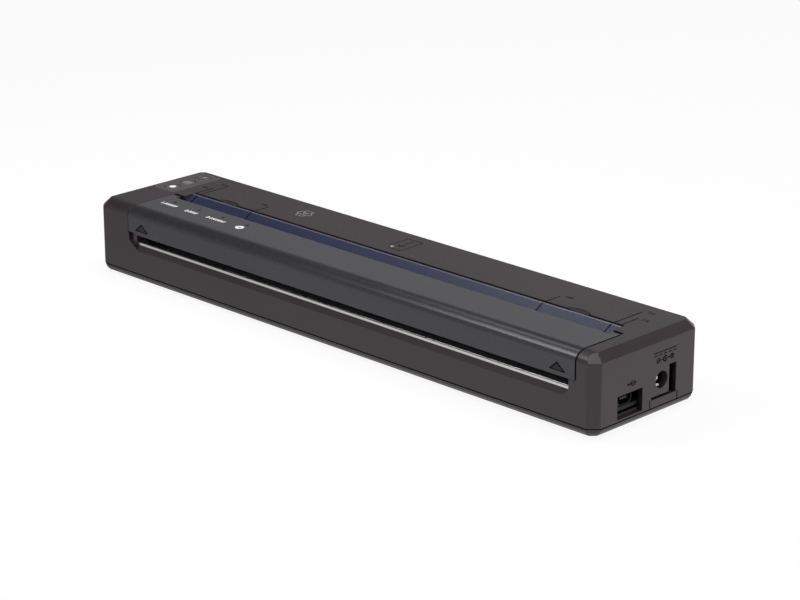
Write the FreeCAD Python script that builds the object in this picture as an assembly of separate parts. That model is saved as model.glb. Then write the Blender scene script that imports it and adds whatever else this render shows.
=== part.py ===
import FreeCAD, Part
import math
import os

os.makedirs("parts", exist_ok=True)

# A4 portable thermal printer, 255 x 55 x 30 mm, all lengths in mm, angles in degrees.
# Frame: origin at the middle of the resting plane, +X to the right seen from the front,
# the front faces -Y, +Z up.

# Overall body
body_length = 255.0
body_depth = 55.0
body_height = 30.0
foot_drop = 0.6             # the feet stand this far below the underside
seam_height = 4.15          # joint between the top case and the bottom cover
seam_groove = 0.45          # open shadow line along that joint
seam_groove_depth = 0.9
wall = 1.8
bottom_wall = 1.6
corner_chamfer = 3.3        # flat cut on the four upright corners
top_chamfer = 3.0           # flat cut along the top edge at both ends and the rear
front_curve_depth = 5.1     # the front top edge is a soft curve
front_curve_height = 3.7
corner_blend = 0.9
curve_join_angle = 135.0    # the soft curve is two arcs that meet at this direction from their centres
overrun = 1.0               # how far a cut runs past a face
face_gap = 0.3              # air between pieces that move past each other
fit_gap = 0.15              # air between pieces that only sit in each other
bore_play = 0.05            # radial play of a shaft in its bore

# Bottom cover
rim_inset = 0.15
lower_bend_height = 2.5     # the underside edge rolls inwards in three steps
lower_bend_inset = 0.55
lowest_bend_height = 1.3
lowest_bend_inset = 1.45
underside_inset = 2.7
tongue_height = 1.5         # upright lip of the bottom cover inside the case wall
tongue_width = 1.0
post_radius = 2.8
post_height = 5.0           # top of the screw posts and of the pads under the frame
pad_width = 4.0
pad_count = 5
case_boss_radius = 2.6
screw_hole_radius = 1.1
screw_head_radius = 2.0
screw_head_height = 1.3
screw_sink = 1.7
screw_shank_radius = 1.0
screw_length = 9.0
screw_left_inset = 8.0      # front screw centres, in from the two ends
screw_right_inset = 6.0
screw_edge_inset = 5.7      # all screw centres, in from the front or the rear
screw_rear_left_inset = 23.0
screw_battery_inset = 12.0  # the two screws beside the battery door
foot_radius = 4.5
foot_pocket = 0.7
foot_inset_x = 14.0
foot_inset_y = 9.5

# Release cover, hinged at its rear corners
cover_left_inset = 18.35    # in from the left end of the body
cover_right_inset = 8.9
cover_height = 10.3
cover_depth = 20.8          # from the front face to the edge over the feed slot
cover_wall = 1.6
ear_reach = 2.1             # the two rear corners reach this much further back
left_ear_width = 4.25
right_ear_width = 3.2
opening_clearance = 1.8     # from the ears to the rear edge of the case opening
hinge_setback = 1.6         # hinge axis, forward of the ears' rear face
hinge_drop = 2.4
hinge_barrel_radius = 2.1
hinge_pin_radius = 1.0
hinge_boss_radius = 2.4
hinge_boss_length = 3.0
cover_rib_height = 2.6
cover_rib_width = 1.2
cover_rib_setback = 4.2     # front stiffening rib, behind the inner front face
cover_gusset_count = 9
cover_gusset_inset = 3.0
hook_width = 1.2
hook_depth = 1.5
hook_height = 2.6
corner_lift = 0.6           # the cover's left corner is cut up over the finger pocket

# Exit slot, tear bar and the hollow below it
slot_left_inset = 4.85      # the slot's ends, in from the ends of the cover
slot_right_inset = 2.6
slot_height = 4.2           # from the front wall under the tear bar to the cover
trough_drop = 2.1           # height of the sloping hollow in the front face
trough_depth = 1.2
trough_end_slant = 2.6      # how far the hollow's right end draws in at its lower edge
pocket_width = 2.9          # finger pocket under the cover's left corner
pocket_drop = 3.1
pocket_toe_width = 0.7
pocket_toe_rise = 0.5
pocket_heel_drop = 2.3
pocket_depth = 1.4
tear_bar_sheet = 0.6
tear_bar_lip = 1.25
tear_bar_flange = 3.9
tear_bar_bevel = 0.3

# Feed slot and the sloping paper guide strip
strip_right_inset = 2.1     # the strip ends this far before the exit slot does
strip_crest_reach = 4.4     # from the rear edge of the case opening to the crest
strip_crest_width = 0.4
strip_crest_drop = 0.1
strip_edge_drop = 0.35
strip_front_reach = 1.5     # the strip runs this far forward under the cover
strip_angle = 27.0
strip_thickness = 1.8
strip_flange = 3.4
strip_flange_thickness = 1.3
groove_width = 1.3          # dark groove between the strip and the rear deck
mark_width = 0.45           # engraved paper width lines
mark_depth = 0.3
mark_margin = 0.6
strip_mark_depth = 0.35
wide_left_inset = 0.1       # the lines, in from the two ends of the strip
wide_right_inset = 1.3
wide_mark_length = 8.1
a4_left_inset = 2.7
a4_right_inset = 4.4
a4_mark_length = 13.9
a5_left_inset = 33.9
a5_right_inset = 35.3
a5_mark_length = 6.5
scoop_left_inset = 18.9     # two thumb scoops, from the ends of the strip to their middles
scoop_right_inset = 20.7
scoop_length = 11.0
scoop_reach = 1.8
scoop_depth = 0.6
deck_rib_count = 3          # stiffening ribs under the rear deck
deck_rib_width = 1.0
deck_rib_height = 1.2
deck_rib_inset = 3.5

# Frame that carries the roller, the head and the strip
frame_left_reach = 0.7      # the frame runs past the slot at both ends
frame_right_reach = 0.2
frame_setback = 4.0         # its rear wall stands this far in front of the strip's rear edge
frame_wall = 1.4
gusset_height = 2.6         # corner webs between the floor and the rear wall
gusset_depth = 7.0
gusset_width = 1.2
gusset_count = 8
guide_wall = 1.2            # thin wall that leads the paper down behind the roller
guide_length = 7.1
sensor_offset = 27.6
sensor_length = 5.0
sensor_depth = 2.2
sensor_height = 3.4
sensor_window = 3.0

# Side plates
plate_thickness = 1.0
plate_foot_drop = 0.5
plate_neck_reach = 3.4
plate_neck_drop = 0.2
plate_top_gap = 1.2
plate_hinge_gap = 4.2       # the plates stay clear of the ears' sweep
plate_shoulder_drop = 5.2
plate_rear_margin = 0.8
motor_plate_margin = 0.4
motor_plate_cut = 3.0

# Platen roller
platen_setback = 11.9       # roller axis behind the front face
platen_radius = 4.5
platen_cover_gap = 1.0
platen_left_gap = 1.4       # ends of the rubber, in from the side plates
platen_right_gap = 3.8
platen_shaft_radius = 2.5
bush_radius = 3.6
bush_flange_radius = 4.3
bush_flange = 0.8
bush_length = 2.0
shaft_end_margin = 1.0

# Gears
gear_module = 0.4
addendum_share = 0.85       # tooth parts as shares of the module
dedendum_share = 1.15
backlash = 0.12
pressure_angle = 20.0
flank_steps = 3
gap_place = 0.5             # a gap's middle, in pitches from the middle of the tooth beside it
gear_width = 2.4
gear_layer_gap = 0.35
platen_teeth = 22
first_small_teeth = 14
first_large_teeth = 40
second_small_teeth = 14
second_large_teeth = 36
pinion_teeth = 12
first_gear_angle = -60.0    # direction from the platen to the first gear
second_gear_angle = -12.0
motor_angle = 0.0
stud_radius = 1.0
stud_head_radius = 1.7
stud_head_length = 0.5
motor_radius = 8.4
motor_length = 13.0
motor_boss_radius = 3.0
motor_boss_length = 0.9
motor_shaft_radius = 0.75
motor_shaft_depth = 3.0
motor_ear_reach = 10.2
motor_ear_angle = 40.0
motor_ear_radius = 2.0
motor_ear_thickness = 0.8
motor_screw_radius = 1.0
motor_screw_head_radius = 1.7
motor_screw_head_height = 0.7
pinion_tail = 1.2

# Print head unit under the platen
head_gap = 0.3              # air under the roller, where the paper runs
head_left_gap = 1.6         # ends of the head, in from the side plates
head_right_gap = 4.6
sink_front_reach = 5.0      # the heat sink in front of and behind the roller axis
sink_rear_reach = 6.2
sink_height = 4.0
sink_fin_count = 4
sink_fin_depth = 1.8
sink_fin_gap = 1.3
head_pivot_reach = 3.2
head_pivot_drop = 3.4
head_pivot_radius = 1.5
head_knuckle_radius = 2.5
knuckle_count = 4
knuckle_length = 16.0
head_board_thickness = 1.1
head_board_front_inset = 0.4
head_board_rear_inset = 0.6
driver_cover_width = 2.2
driver_cover_height = 0.8
spring_count = 4
spring_length = 14.0
spring_sheet = 0.5
spring_gap = 0.55           # the head can sink this far at the springs
spring_front_reach = 5.9    # from the roller axis to the ends of the springs
spring_rear_reach = 6.1
spring_tip_front_reach = 2.0
spring_tip_rear_reach = 1.2
catch_sheet = 0.4
catch_height = 8.8
catch_overlap = 1.1
catch_gap = 0.35

# Indicators in the release cover
window_radius = 0.7
window_setback = 4.35       # forward of the cover's rear edge
window_first_inset = 4.1
window_pitch = 13.7
window_count = 4
window_flange_thickness = 0.45
window_flange_radius = 1.2
lamp_length = 1.6
lamp_width = 1.0
lamp_height = 0.55
indicator_board_margin = 4.0
indicator_board_front_reach = 1.35
indicator_board_rear_reach = 2.05
indicator_board_thickness = 0.6
indicator_post_radius = 0.9
inner_guide_setback = 0.4
inner_guide_thickness = 1.4
inner_guide_height = 2.5
inner_guide_tab_count = 10
inner_guide_tab_width = 1.0
inner_guide_tab_reach = 0.5

# Keypad
panel_left_inset = 3.4
panel_rear_inset = 4.3
panel_length = 12.9
panel_depth = 25.9
panel_corner = 2.2
panel_thickness = 1.2
key_radius = 3.1
key_gap = 0.12
key_inset = 6.7             # from the panel's left edge to the row of keys
key_first_inset = 5.1
key_pitch = 7.75
key_count = 3
key_bevel = 0.25
key_flange_radius = 3.4
key_flange_thickness = 0.7
key_stem_radius = 1.1
key_stem_length = 1.6
key_travel = 0.5
switch_size = 4.5
switch_body_height = 1.6
switch_plunger_radius = 0.9
switch_plunger_height = 0.5
switch_clearance = 0.1
button_board_thickness = 1.0
button_board_margin = 1.3
board_post_radius = 1.4
button_post_reach = 4.2

# Right end: data socket, power jack, L-shaped opening and the tab below it
port_setback = 11.7         # from the front face
port_width = 12.9
port_low = 4.8
port_high = 13.1
socket_offset = 6.3         # socket middle behind the port's front edge
socket_z = 10.0
socket_width = 7.7
socket_height = 3.9
socket_length = 6.6
socket_setback = 0.7
socket_mouth_depth = 4.8
socket_sheet = 0.4
socket_shoulder = 1.0
socket_tongue_height = 0.9
socket_tongue_width = 3.6
jack_offset = 9.8           # jack middle behind the port's rear edge
jack_z = 13.2
jack_hole_radius = 3.1
jack_width = 8.4
jack_height = 10.4
jack_length = 13.4
jack_bore_radius = 2.85
jack_bore_depth = 9.5
jack_pin_radius = 0.8
jack_pin_setback = 2.4
jack_contact_width = 2.4
jack_contact_sheet = 0.35
jack_contact_length = 7.0
tall_slot_offset = 4.0      # from the jack's middle
tall_slot_width = 3.7
tall_slot_high = 17.7
flat_slot_low = 6.95
flat_slot_height = 1.0
flat_slot_reach = 5.3
tab_front_reach = 5.7
tab_rear_reach = 0.7
tab_hook = 1.1
tab_gap = 0.3               # open line on both sides of the tab
io_board_thickness = 1.4
io_board_length = 21.4
io_board_front_margin = 0.4
io_board_rear_margin = 6.5
io_board_edge = 2.1         # the board ends this far inside the end face

# Main board and battery
board_drop = 5.7            # main board below the case's ceiling
board_rear_inset = 2.7
board_overhang = 2.0
board_thickness = 1.4
board_post_inset = 5.0
board_post_setback = 3.4
chip_height = 1.2
chip_size = 9.0
chip_count = 4
chip_inset = 22.0
shield_length = 18.0
shield_width = 12.0
shield_height = 2.4
connector_length = 22.0
connector_depth = 4.0
connector_height = 2.2
battery_left_inset = 69.5
battery_right_inset = 47.5
battery_front_reach = 5.6   # behind the frame
battery_rear_inset = 5.1
battery_headroom = 1.9
battery_round = 6.0
battery_round_share = 0.45  # most that the corner rounding takes of the pack's section
battery_rib = 1.2
battery_rib_height = 9.0
contact_width = 2.6
contact_sheet = 0.5
contact_inset = 4.2
contact_count = 3
contact_height = 9.0
door_thickness = 1.3
door_lip = 0.9              # the door's long edges lie above ledges in the bottom cover
door_lip_height = 0.7
door_margin = 1.6
door_grip_count = 5
door_grip_width = 0.8
door_grip_pitch = 2.0
door_grip_depth = 0.4
ribbon_width = 22.0
ribbon_inset = 85.0         # its middle, in from the left end of the frame
ribbon_thickness = 0.3

# Turn about the space diagonal that carries x to y, y to z and z to x
axis_turn = 120.0

# Places along the body, from its two ends
half_length = body_length / 2
half_depth = body_depth / 2
front_face = -half_depth
diagonal_share = math.sqrt(2)
inner_top = body_height - wall
inner_floor = foot_drop + bottom_wall
cover_left = -half_length + cover_left_inset
cover_right = half_length - cover_right_inset
left_ear_inner = cover_left + left_ear_width
right_ear_inner = cover_right - right_ear_width
slot_left = cover_left + slot_left_inset
slot_right = cover_right - slot_right_inset
pocket_left = cover_left + fit_gap
pocket_right = pocket_left + pocket_width
strip_left = slot_left
strip_right = slot_right - strip_right_inset
frame_left = slot_left - frame_left_reach
frame_right = slot_right + frame_right_reach
left_plate_outer = frame_left - plate_thickness
right_plate_outer = frame_right + plate_thickness
platen_left = frame_left + platen_left_gap
platen_right = frame_right - platen_right_gap
head_left = frame_left + head_left_gap
head_right = frame_right - head_right_gap
window_left = slot_left + window_first_inset
window_right = window_left + window_pitch * (window_count - 1)
panel_left = -half_length + panel_left_inset
panel_right = panel_left + panel_length
key_x = panel_left + key_inset
battery_left = -half_length + battery_left_inset
battery_right = half_length - battery_right_inset
board_left = battery_left - board_overhang
board_right = battery_right + board_overhang
io_board_right = half_length - io_board_edge
io_board_left = io_board_right - io_board_length

# Places from the front to the rear
cover_rear = front_face + cover_depth
ear_rear = cover_rear + ear_reach
opening_rear = ear_rear + opening_clearance
hinge_y = ear_rear - hinge_setback
strip_front = cover_rear - strip_front_reach
strip_crest = opening_rear + strip_crest_reach
strip_rear = strip_crest + strip_crest_width
groove_rear = strip_rear + groove_width
mark_start = groove_rear + mark_margin
tear_bar_front = front_face + trough_depth
cover_face_inner = front_face + cover_wall
cover_rib_y = cover_face_inner + cover_rib_setback
tongue_clear_y = front_face + wall + fit_gap + tongue_width + fit_gap
frame_front = front_face + wall + face_gap
frame_rear = strip_rear - frame_setback
plate_neck_y = tongue_clear_y + plate_neck_reach
plate_rear_y = hinge_y - plate_hinge_gap
plate_low_rear = frame_rear + plate_rear_margin
platen_y = front_face + platen_setback
sink_front = platen_y - sink_front_reach
sink_rear = platen_y + sink_rear_reach
head_board_front = sink_front + head_board_front_inset
head_board_rear = sink_rear - head_board_rear_inset
head_pivot_y = sink_rear + head_pivot_reach
window_y = cover_rear - window_setback
indicator_board_front = window_y - indicator_board_front_reach
indicator_board_rear = window_y + indicator_board_rear_reach
inner_guide_rear = cover_rear - inner_guide_setback
inner_guide_front = inner_guide_rear - inner_guide_thickness
panel_rear = half_depth - panel_rear_inset
panel_front = panel_rear - panel_depth
key_places = [panel_front + key_first_inset + key_pitch * index for index in range(key_count)]
port_front = front_face + port_setback
port_rear = port_front + port_width
socket_y = port_front + socket_offset
jack_y = port_rear + jack_offset
tall_slot_front = jack_y + tall_slot_offset
tall_slot_rear = tall_slot_front + tall_slot_width
flat_slot_front = jack_y - flat_slot_reach
tab_front = jack_y - tab_front_reach
tab_rear = tall_slot_rear + tab_rear_reach
io_board_front = port_front - io_board_front_margin
io_board_rear = jack_y + io_board_rear_margin
board_post_front = strip_rear + strip_flange + face_gap + board_post_radius
board_front = board_post_front - board_post_setback
board_rear = half_depth - board_rear_inset
battery_front = frame_rear + battery_front_reach
battery_rear = half_depth - battery_rear_inset

# Heights
cover_bottom = body_height - cover_height
corner_low = cover_bottom + corner_lift
cover_inner_top = body_height - cover_wall
slot_sill = cover_bottom - slot_height
trough_low = slot_sill - trough_drop
hinge_z = body_height - hinge_drop
strip_top = body_height - strip_crest_drop
strip_slope = math.tan(math.radians(strip_angle))
strip_drop = strip_thickness / math.cos(math.radians(strip_angle))
tear_bar_top = slot_sill + tear_bar_lip
frame_floor = post_height
frame_sill = tear_bar_top - tear_bar_sheet
plate_shoulder = hinge_z - plate_shoulder_drop
platen_z = cover_inner_top - platen_cover_gap - platen_radius
sink_top = platen_z - platen_radius - head_gap - head_board_thickness
sink_bottom = sink_top - sink_height
head_pivot_z = sink_top - head_pivot_drop
indicator_board_top = cover_inner_top - window_flange_thickness - lamp_height - fit_gap
inner_guide_low = cover_inner_top - inner_guide_height
key_flange_top = body_height - panel_thickness
switch_top = key_flange_top - key_flange_thickness - key_travel - key_stem_length
button_board_top = switch_top - switch_plunger_height - switch_body_height
io_board_top = socket_z - socket_height / 2
io_board_low = io_board_top - io_board_thickness
jack_contact_low = jack_z - jack_bore_radius - jack_contact_sheet
board_low = inner_top - board_drop
board_top = board_low + board_thickness
battery_low = foot_drop + door_thickness
battery_high = board_low - battery_headroom
contact_top = inner_floor + contact_height

# Gear radii and layers
gear_right = left_plate_outer - gear_layer_gap
gear_pitch_width = gear_width + gear_layer_gap
platen_gear_radius = gear_module * platen_teeth / 2
first_small_radius = gear_module * first_small_teeth / 2
first_large_radius = gear_module * first_large_teeth / 2
second_small_radius = gear_module * second_small_teeth / 2
second_large_radius = gear_module * second_large_teeth / 2
pinion_radius = gear_module * pinion_teeth / 2


# Point at a distance and angle from a centre, in the Y-Z plane
def polar(centre, distance, angle):
    turn = math.radians(angle)
    return (centre[0] + distance * math.cos(turn), centre[1] + distance * math.sin(turn))


# Evenly spaced places from a first to a last one
def spread(first, last, count):
    step = (last - first) / (count - 1)
    return [first + step * index for index in range(count)]


platen_centre = (platen_y, platen_z)
first_centre = polar(platen_centre, platen_gear_radius + first_small_radius, first_gear_angle)
second_centre = polar(first_centre, first_large_radius + second_small_radius, second_gear_angle)
motor_centre = polar(second_centre, second_large_radius + pinion_radius, motor_angle)
motor_plate_top = motor_centre[1] + motor_radius + motor_plate_margin
motor_screw_centres = [polar(motor_centre, motor_ear_reach, motor_ear_angle),
                       polar(motor_centre, -motor_ear_reach, motor_ear_angle)]
motor_plate_rear = motor_screw_centres[0][0] + motor_ear_radius + motor_plate_margin
head_pivot = (head_pivot_y, head_pivot_z)
jack_centre = (jack_y, jack_z)
hinge_centre = (hinge_y, hinge_z)
ribbon_x = frame_left + ribbon_inset
sensor_x = (frame_left + frame_right) / 2 - sensor_offset
window_xs = spread(window_left, window_right, window_count)
screw_places = [
    (-half_length + screw_left_inset, front_face + screw_edge_inset),
    (half_length - screw_right_inset, front_face + screw_edge_inset),
    (half_length - screw_right_inset, half_depth - screw_edge_inset),
    (-half_length + screw_rear_left_inset, half_depth - screw_edge_inset),
    (battery_left - screw_battery_inset, half_depth - screw_edge_inset),
    (battery_right + screw_battery_inset, half_depth - screw_edge_inset),
]
screw_seat = foot_drop + screw_sink
screw_tip = screw_seat + screw_length
foot_places = [(side_x * (half_length - foot_inset_x), side_y * (half_depth - foot_inset_y))
               for side_x in (-1, 1) for side_y in (-1, 1)]
left_boss_low = cover_left - face_gap - hinge_boss_length
right_boss_low = cover_right + face_gap
ear_sweep_radius = opening_rear - hinge_y - face_gap
indicator_board_y = (indicator_board_front + indicator_board_rear) / 2
indicator_post_xs = [(window_xs[0] + window_xs[1]) / 2, (window_xs[-2] + window_xs[-1]) / 2]
io_board_narrow_left = right_plate_outer + face_gap
io_board_posts = [
    (io_board_left + board_post_radius, io_board_rear - board_post_radius),
    (io_board_narrow_left + board_post_radius, io_board_front + board_post_radius),
    (io_board_right - 2 * board_post_radius, io_board_rear - board_post_radius),
]
door_left = battery_left - fit_gap
door_right = battery_right + fit_gap
door_front = battery_front - fit_gap - door_lip
door_rear = battery_rear + fit_gap + door_lip


# Shapes used by many pieces

def block(x_low, x_high, y_low, y_high, z_low, z_high):
    corner = FreeCAD.Vector(x_low, y_low, z_low)
    return Part.makeBox(x_high - x_low, y_high - y_low, z_high - z_low, corner)


def closed_face(corners):
    return Part.Face(Part.makePolygon(corners + [corners[0]]))


def prism_x(outline, x_low, x_high):
    corners = [FreeCAD.Vector(x_low, y, z) for y, z in outline]
    return closed_face(corners).extrude(FreeCAD.Vector(x_high - x_low, 0, 0))


def prism_y(outline, y_low, y_high):
    corners = [FreeCAD.Vector(x, y_low, z) for x, z in outline]
    return closed_face(corners).extrude(FreeCAD.Vector(0, y_high - y_low, 0))


def rod_x(centre, radius, x_low, x_high):
    base = FreeCAD.Vector(x_low, centre[0], centre[1])
    return Part.makeCylinder(radius, x_high - x_low, base, FreeCAD.Vector(1, 0, 0))


def rod_z(x, y, radius, z_low, z_high):
    return Part.makeCylinder(radius, z_high - z_low, FreeCAD.Vector(x, y, z_low))


def ring_x(centre, outer, inner, x_low, x_high):
    hole = rod_x(centre, inner, x_low - overrun, x_high + overrun)
    return rod_x(centre, outer, x_low, x_high).cut(hole)


def joined(pieces):
    return pieces[0].multiFuse(pieces[1:]).removeSplitter()


def cut_all(shape, tools):
    return shape.cut(Part.makeCompound(tools)) if tools else shape


# Closed outline at one height, with every corner rounded by the same radius
def rounded_outline(points, radius, height):
    edges = []
    starts = []
    count = len(points)
    for index in range(count):
        corner = FreeCAD.Vector(points[index][0], points[index][1], height)
        before = FreeCAD.Vector(points[index - 1][0], points[index - 1][1], height) - corner
        following = points[(index + 1) % count]
        after = FreeCAD.Vector(following[0], following[1], height) - corner
        before.normalize()
        after.normalize()
        half_turn = (math.pi - before.getAngle(after)) / 2
        reach = radius * math.tan(half_turn)
        inward = before + after
        inward.normalize()
        middle = corner + inward * (radius / math.cos(half_turn) - radius)
        starts.append((corner + before * reach, middle, corner + after * reach))
    for index in range(count):
        enter, middle, leave = starts[index]
        edges.append(Part.Arc(enter, middle, leave).toShape())
        edges.append(Part.makeLine(leave, starts[(index + 1) % count][0]))
    return Part.Wire(edges)


def sharp_outline(points, height):
    corners = [FreeCAD.Vector(x, y, height) for x, y in points]
    return Part.makePolygon(corners + [corners[0]])


def rectangle(x_low, x_high, y_low, y_high):
    return [(x_low, y_low), (x_high, y_low), (x_high, y_high), (x_low, y_high)]


def rounded_plate(x_low, x_high, y_low, y_high, z_low, z_high, radius):
    wire = rounded_outline(rectangle(x_low, x_high, y_low, y_high), radius, z_low)
    return Part.Face(wire).extrude(FreeCAD.Vector(0, 0, z_high - z_low))


# Plan of the body: a rectangle with four flat corners, drawn in by an inset on each side
def body_plan(front, sides, rear):
    diagonal = half_length + half_depth - corner_chamfer - sides * diagonal_share
    x_side = half_length - sides
    y_low = half_depth - front
    y_high = half_depth - rear
    return [
        (-x_side, x_side - diagonal),
        (y_low - diagonal, -y_low),
        (diagonal - y_low, -y_low),
        (x_side, x_side - diagonal),
        (x_side, diagonal - x_side),
        (diagonal - y_high, y_high),
        (y_high - diagonal, y_high),
        (-x_side, diagonal - x_side),
    ]


# Two tangent arcs from the upright front face over into the flat top, as points (y, z)
def front_curve_arcs(face, top):
    start = body_height - front_curve_height
    end = front_face + front_curve_depth
    deep = end - face
    high = top - start
    tight = (high + deep * (1 - diagonal_share)) / (2 - diagonal_share)
    wide = high + deep - tight
    low_centre = (face + tight, start)
    high_centre = (end, top - wide)
    join = polar(low_centre, tight, curve_join_angle)
    low_middle = polar(low_centre, tight, (180 + curve_join_angle) / 2)
    high_middle = polar(high_centre, wide, (90 + curve_join_angle) / 2)
    return [((face, start), low_middle, join), (join, high_middle, (end, top))]


# Side view of the body, open upwards except for the soft curve along the front top edge
def front_curve_prism(inset, low):
    x_low = -half_length - overrun
    face = front_face + inset
    top = body_height - inset
    arcs = front_curve_arcs(face, top)
    edges = []
    for points in arcs:
        start, middle, end = [FreeCAD.Vector(x_low, y, z) for y, z in points]
        edges.append(Part.Arc(start, middle, end).toShape())
    far = half_depth + overrun
    corners = [arcs[-1][-1], (far, top), (far, low), (face, low), arcs[0][0]]
    corners = [FreeCAD.Vector(x_low, y, z) for y, z in corners]
    for start, end in zip(corners[:-1], corners[1:]):
        edges.append(Part.makeLine(start, end))
    face_shape = Part.Face(Part.Wire(edges))
    return face_shape.extrude(FreeCAD.Vector(body_length + 2 * overrun, 0, 0))


# Solid body shape above a given height, drawn in by an inset on every side
def body_block(inset, low, rounded):
    lean = inset * (diagonal_share - 1)
    bend = body_height - top_chamfer - lean
    upper = body_plan(inset, top_chamfer + lean, top_chamfer + lean)
    lower = body_plan(inset, inset, inset)
    levels = [(lower, low), (lower, bend), (upper, body_height - inset)]
    if rounded:
        wires = [rounded_outline(plan, corner_blend, height) for plan, height in levels]
    else:
        wires = [sharp_outline(plan, height) for plan, height in levels]
    return Part.makeLoft(wires, True, True).common(front_curve_prism(inset, low))


def plan_prism(inset, low, high):
    wire = sharp_outline(body_plan(inset, inset, inset), low)
    return Part.Face(wire).extrude(FreeCAD.Vector(0, 0, high - low))


# Top case: one moulding with both ends, the rear deck and the front below the exit slot

def case_openings():
    top = body_height + overrun
    inside = front_face + wall + overrun
    cover_hole = block(cover_left - face_gap, cover_right + face_gap, front_face - overrun,
                       opening_rear, cover_bottom - fit_gap, top)
    strip_hole = block(strip_left - fit_gap, strip_right + fit_gap, opening_rear - overrun,
                       groove_rear, inner_top - overrun, top)
    slot = block(slot_left, slot_right, front_face - overrun, inside, slot_sill, cover_bottom)
    return [cover_hole, strip_hole, slot]


# Sloping hollow below the tear bar, slanted at its right end
def front_trough():
    slope = (tear_bar_front - front_face) / (slot_sill - trough_low)
    outer = front_face - overrun * slope
    slant = prism_x([(outer, trough_low - overrun), (tear_bar_front, slot_sill), (outer, slot_sill)],
                    cover_left, cover_right)
    ends = prism_y([(slot_left, trough_low), (slot_right - trough_end_slant, trough_low),
                    (slot_right, slot_sill), (slot_left, slot_sill)],
                   front_face - overrun, tear_bar_front)
    return slant.common(ends)


# Finger pocket under the lower left corner of the release cover
def finger_pocket():
    outline = [
        (pocket_left, cover_bottom),
        (pocket_left, cover_bottom - pocket_drop),
        (slot_left - pocket_toe_width, trough_low + pocket_toe_rise),
        (slot_left, trough_low + pocket_toe_rise),
        (slot_left, tear_bar_top),
        (pocket_right, cover_bottom - pocket_heel_drop),
        (pocket_right, cover_bottom),
    ]
    return prism_y(outline, front_face - overrun, front_face + pocket_depth)


# Engraved lines that show where the edges of each paper width go
def deck_marks():
    marks = []
    for left_inset, right_inset, length in ((wide_left_inset, wide_right_inset, wide_mark_length),
                                            (a4_left_inset, a4_right_inset, a4_mark_length),
                                            (a5_left_inset, a5_right_inset, a5_mark_length)):
        end = mark_start + length
        for x in (strip_left + left_inset, strip_right - right_inset):
            marks.append(block(x - mark_width / 2, x + mark_width / 2, mark_start, end,
                               body_height - mark_depth, body_height + overrun))
    return marks


# Shallow round hollows for the thumbs, in the deck's edge behind the feed slot
def thumb_scoops():
    half = scoop_length / 2
    back = (half * half - scoop_reach * scoop_reach) / (2 * scoop_reach)
    plan_radius = back + scoop_reach
    lift = (half * half - scoop_depth * scoop_depth) / (2 * scoop_depth)
    radius = math.sqrt(lift * lift + plan_radius * plan_radius)
    scoops = []
    for x in (strip_left + scoop_left_inset, strip_right - scoop_right_inset):
        centre = FreeCAD.Vector(x, groove_rear - back, body_height + lift)
        scoops.append(Part.makeSphere(radius, centre))
    return scoops


def keypad_seat():
    seat = rounded_plate(panel_left - fit_gap, panel_right + fit_gap, panel_front - fit_gap,
                         panel_rear + fit_gap, body_height - panel_thickness, body_height + overrun,
                         panel_corner + fit_gap)
    tools = [seat]
    for y in key_places:
        tools.append(rod_z(key_x, y, key_flange_radius + key_gap, inner_top - overrun, body_height))
    return tools


# Openings in the right end: data port, power jack, L-shaped slot and the seat of the tab
def end_openings():
    inside = half_length - wall - overrun
    outside = half_length + overrun
    port = block(inside, outside, port_front, port_rear, port_low, port_high)
    jack = rod_x((jack_y, jack_z), jack_hole_radius, inside, outside)
    tall = block(inside, outside, tall_slot_front, tall_slot_rear, flat_slot_low, tall_slot_high)
    flat = block(inside, outside, flat_slot_front, tall_slot_rear, flat_slot_low,
                 flat_slot_low + flat_slot_height)
    tab = block(inside, outside, tab_front - tab_gap, tab_rear + tab_gap,
                seam_height - overrun, flat_slot_low)
    return [port, jack, tall, flat, tab]


def hinge_bosses():
    bosses = []
    for x_low in (left_boss_low, right_boss_low):
        x_high = x_low + hinge_boss_length
        barrel = rod_x(hinge_centre, hinge_boss_radius, x_low, x_high)
        web = block(x_low, x_high, hinge_y - hinge_boss_radius, hinge_y + hinge_boss_radius,
                    hinge_z, inner_top)
        bosses.append(barrel.fuse(web).common(body_block(0, seam_height, False)))
    return bosses


def case_bosses():
    bosses = []
    for x, y in screw_places:
        bosses.append(rod_z(x, y, case_boss_radius, post_height, inner_top))
    for x in (board_left + board_post_inset, board_right - board_post_inset):
        for y in (board_post_front, board_rear - board_post_setback):
            bosses.append(rod_z(x, y, board_post_radius, board_top, inner_top))
    for x in (key_x - button_post_reach, key_x + button_post_reach):
        for y in (key_places[1] - key_pitch / 2, key_places[1] + key_pitch / 2):
            bosses.append(rod_z(x, y, board_post_radius, button_board_top, inner_top))
    return bosses


# Thin stiffening ribs under the rear deck
def deck_ribs():
    ribs = []
    for y in spread(board_front + deck_rib_inset, board_rear - deck_rib_inset, deck_rib_count):
        ribs.append(block(board_left, board_right, y - deck_rib_width / 2, y + deck_rib_width / 2,
                          inner_top - deck_rib_height, inner_top))
    return ribs


def top_case():
    shell = body_block(0, seam_height, True).cut(body_block(wall, seam_height - overrun, False))
    shell = cut_all(shell, case_openings() + [front_trough(), finger_pocket()])
    shell = cut_all(shell, deck_marks() + thumb_scoops() + keypad_seat() + end_openings())
    case = joined([shell] + hinge_bosses() + case_bosses() + deck_ribs())
    bore = hinge_pin_radius + bore_play
    holes = [rod_x(hinge_centre, bore, left_boss_low, left_boss_low + hinge_boss_length),
             rod_x(hinge_centre, bore, right_boss_low, right_boss_low + hinge_boss_length)]
    for x, y in screw_places:
        holes.append(rod_z(x, y, screw_shank_radius + bore_play, post_height - overrun,
                           screw_tip + overrun))
    return cut_all(case, holes)


# Bottom cover: shallow tray with a rolled lower edge

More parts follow.
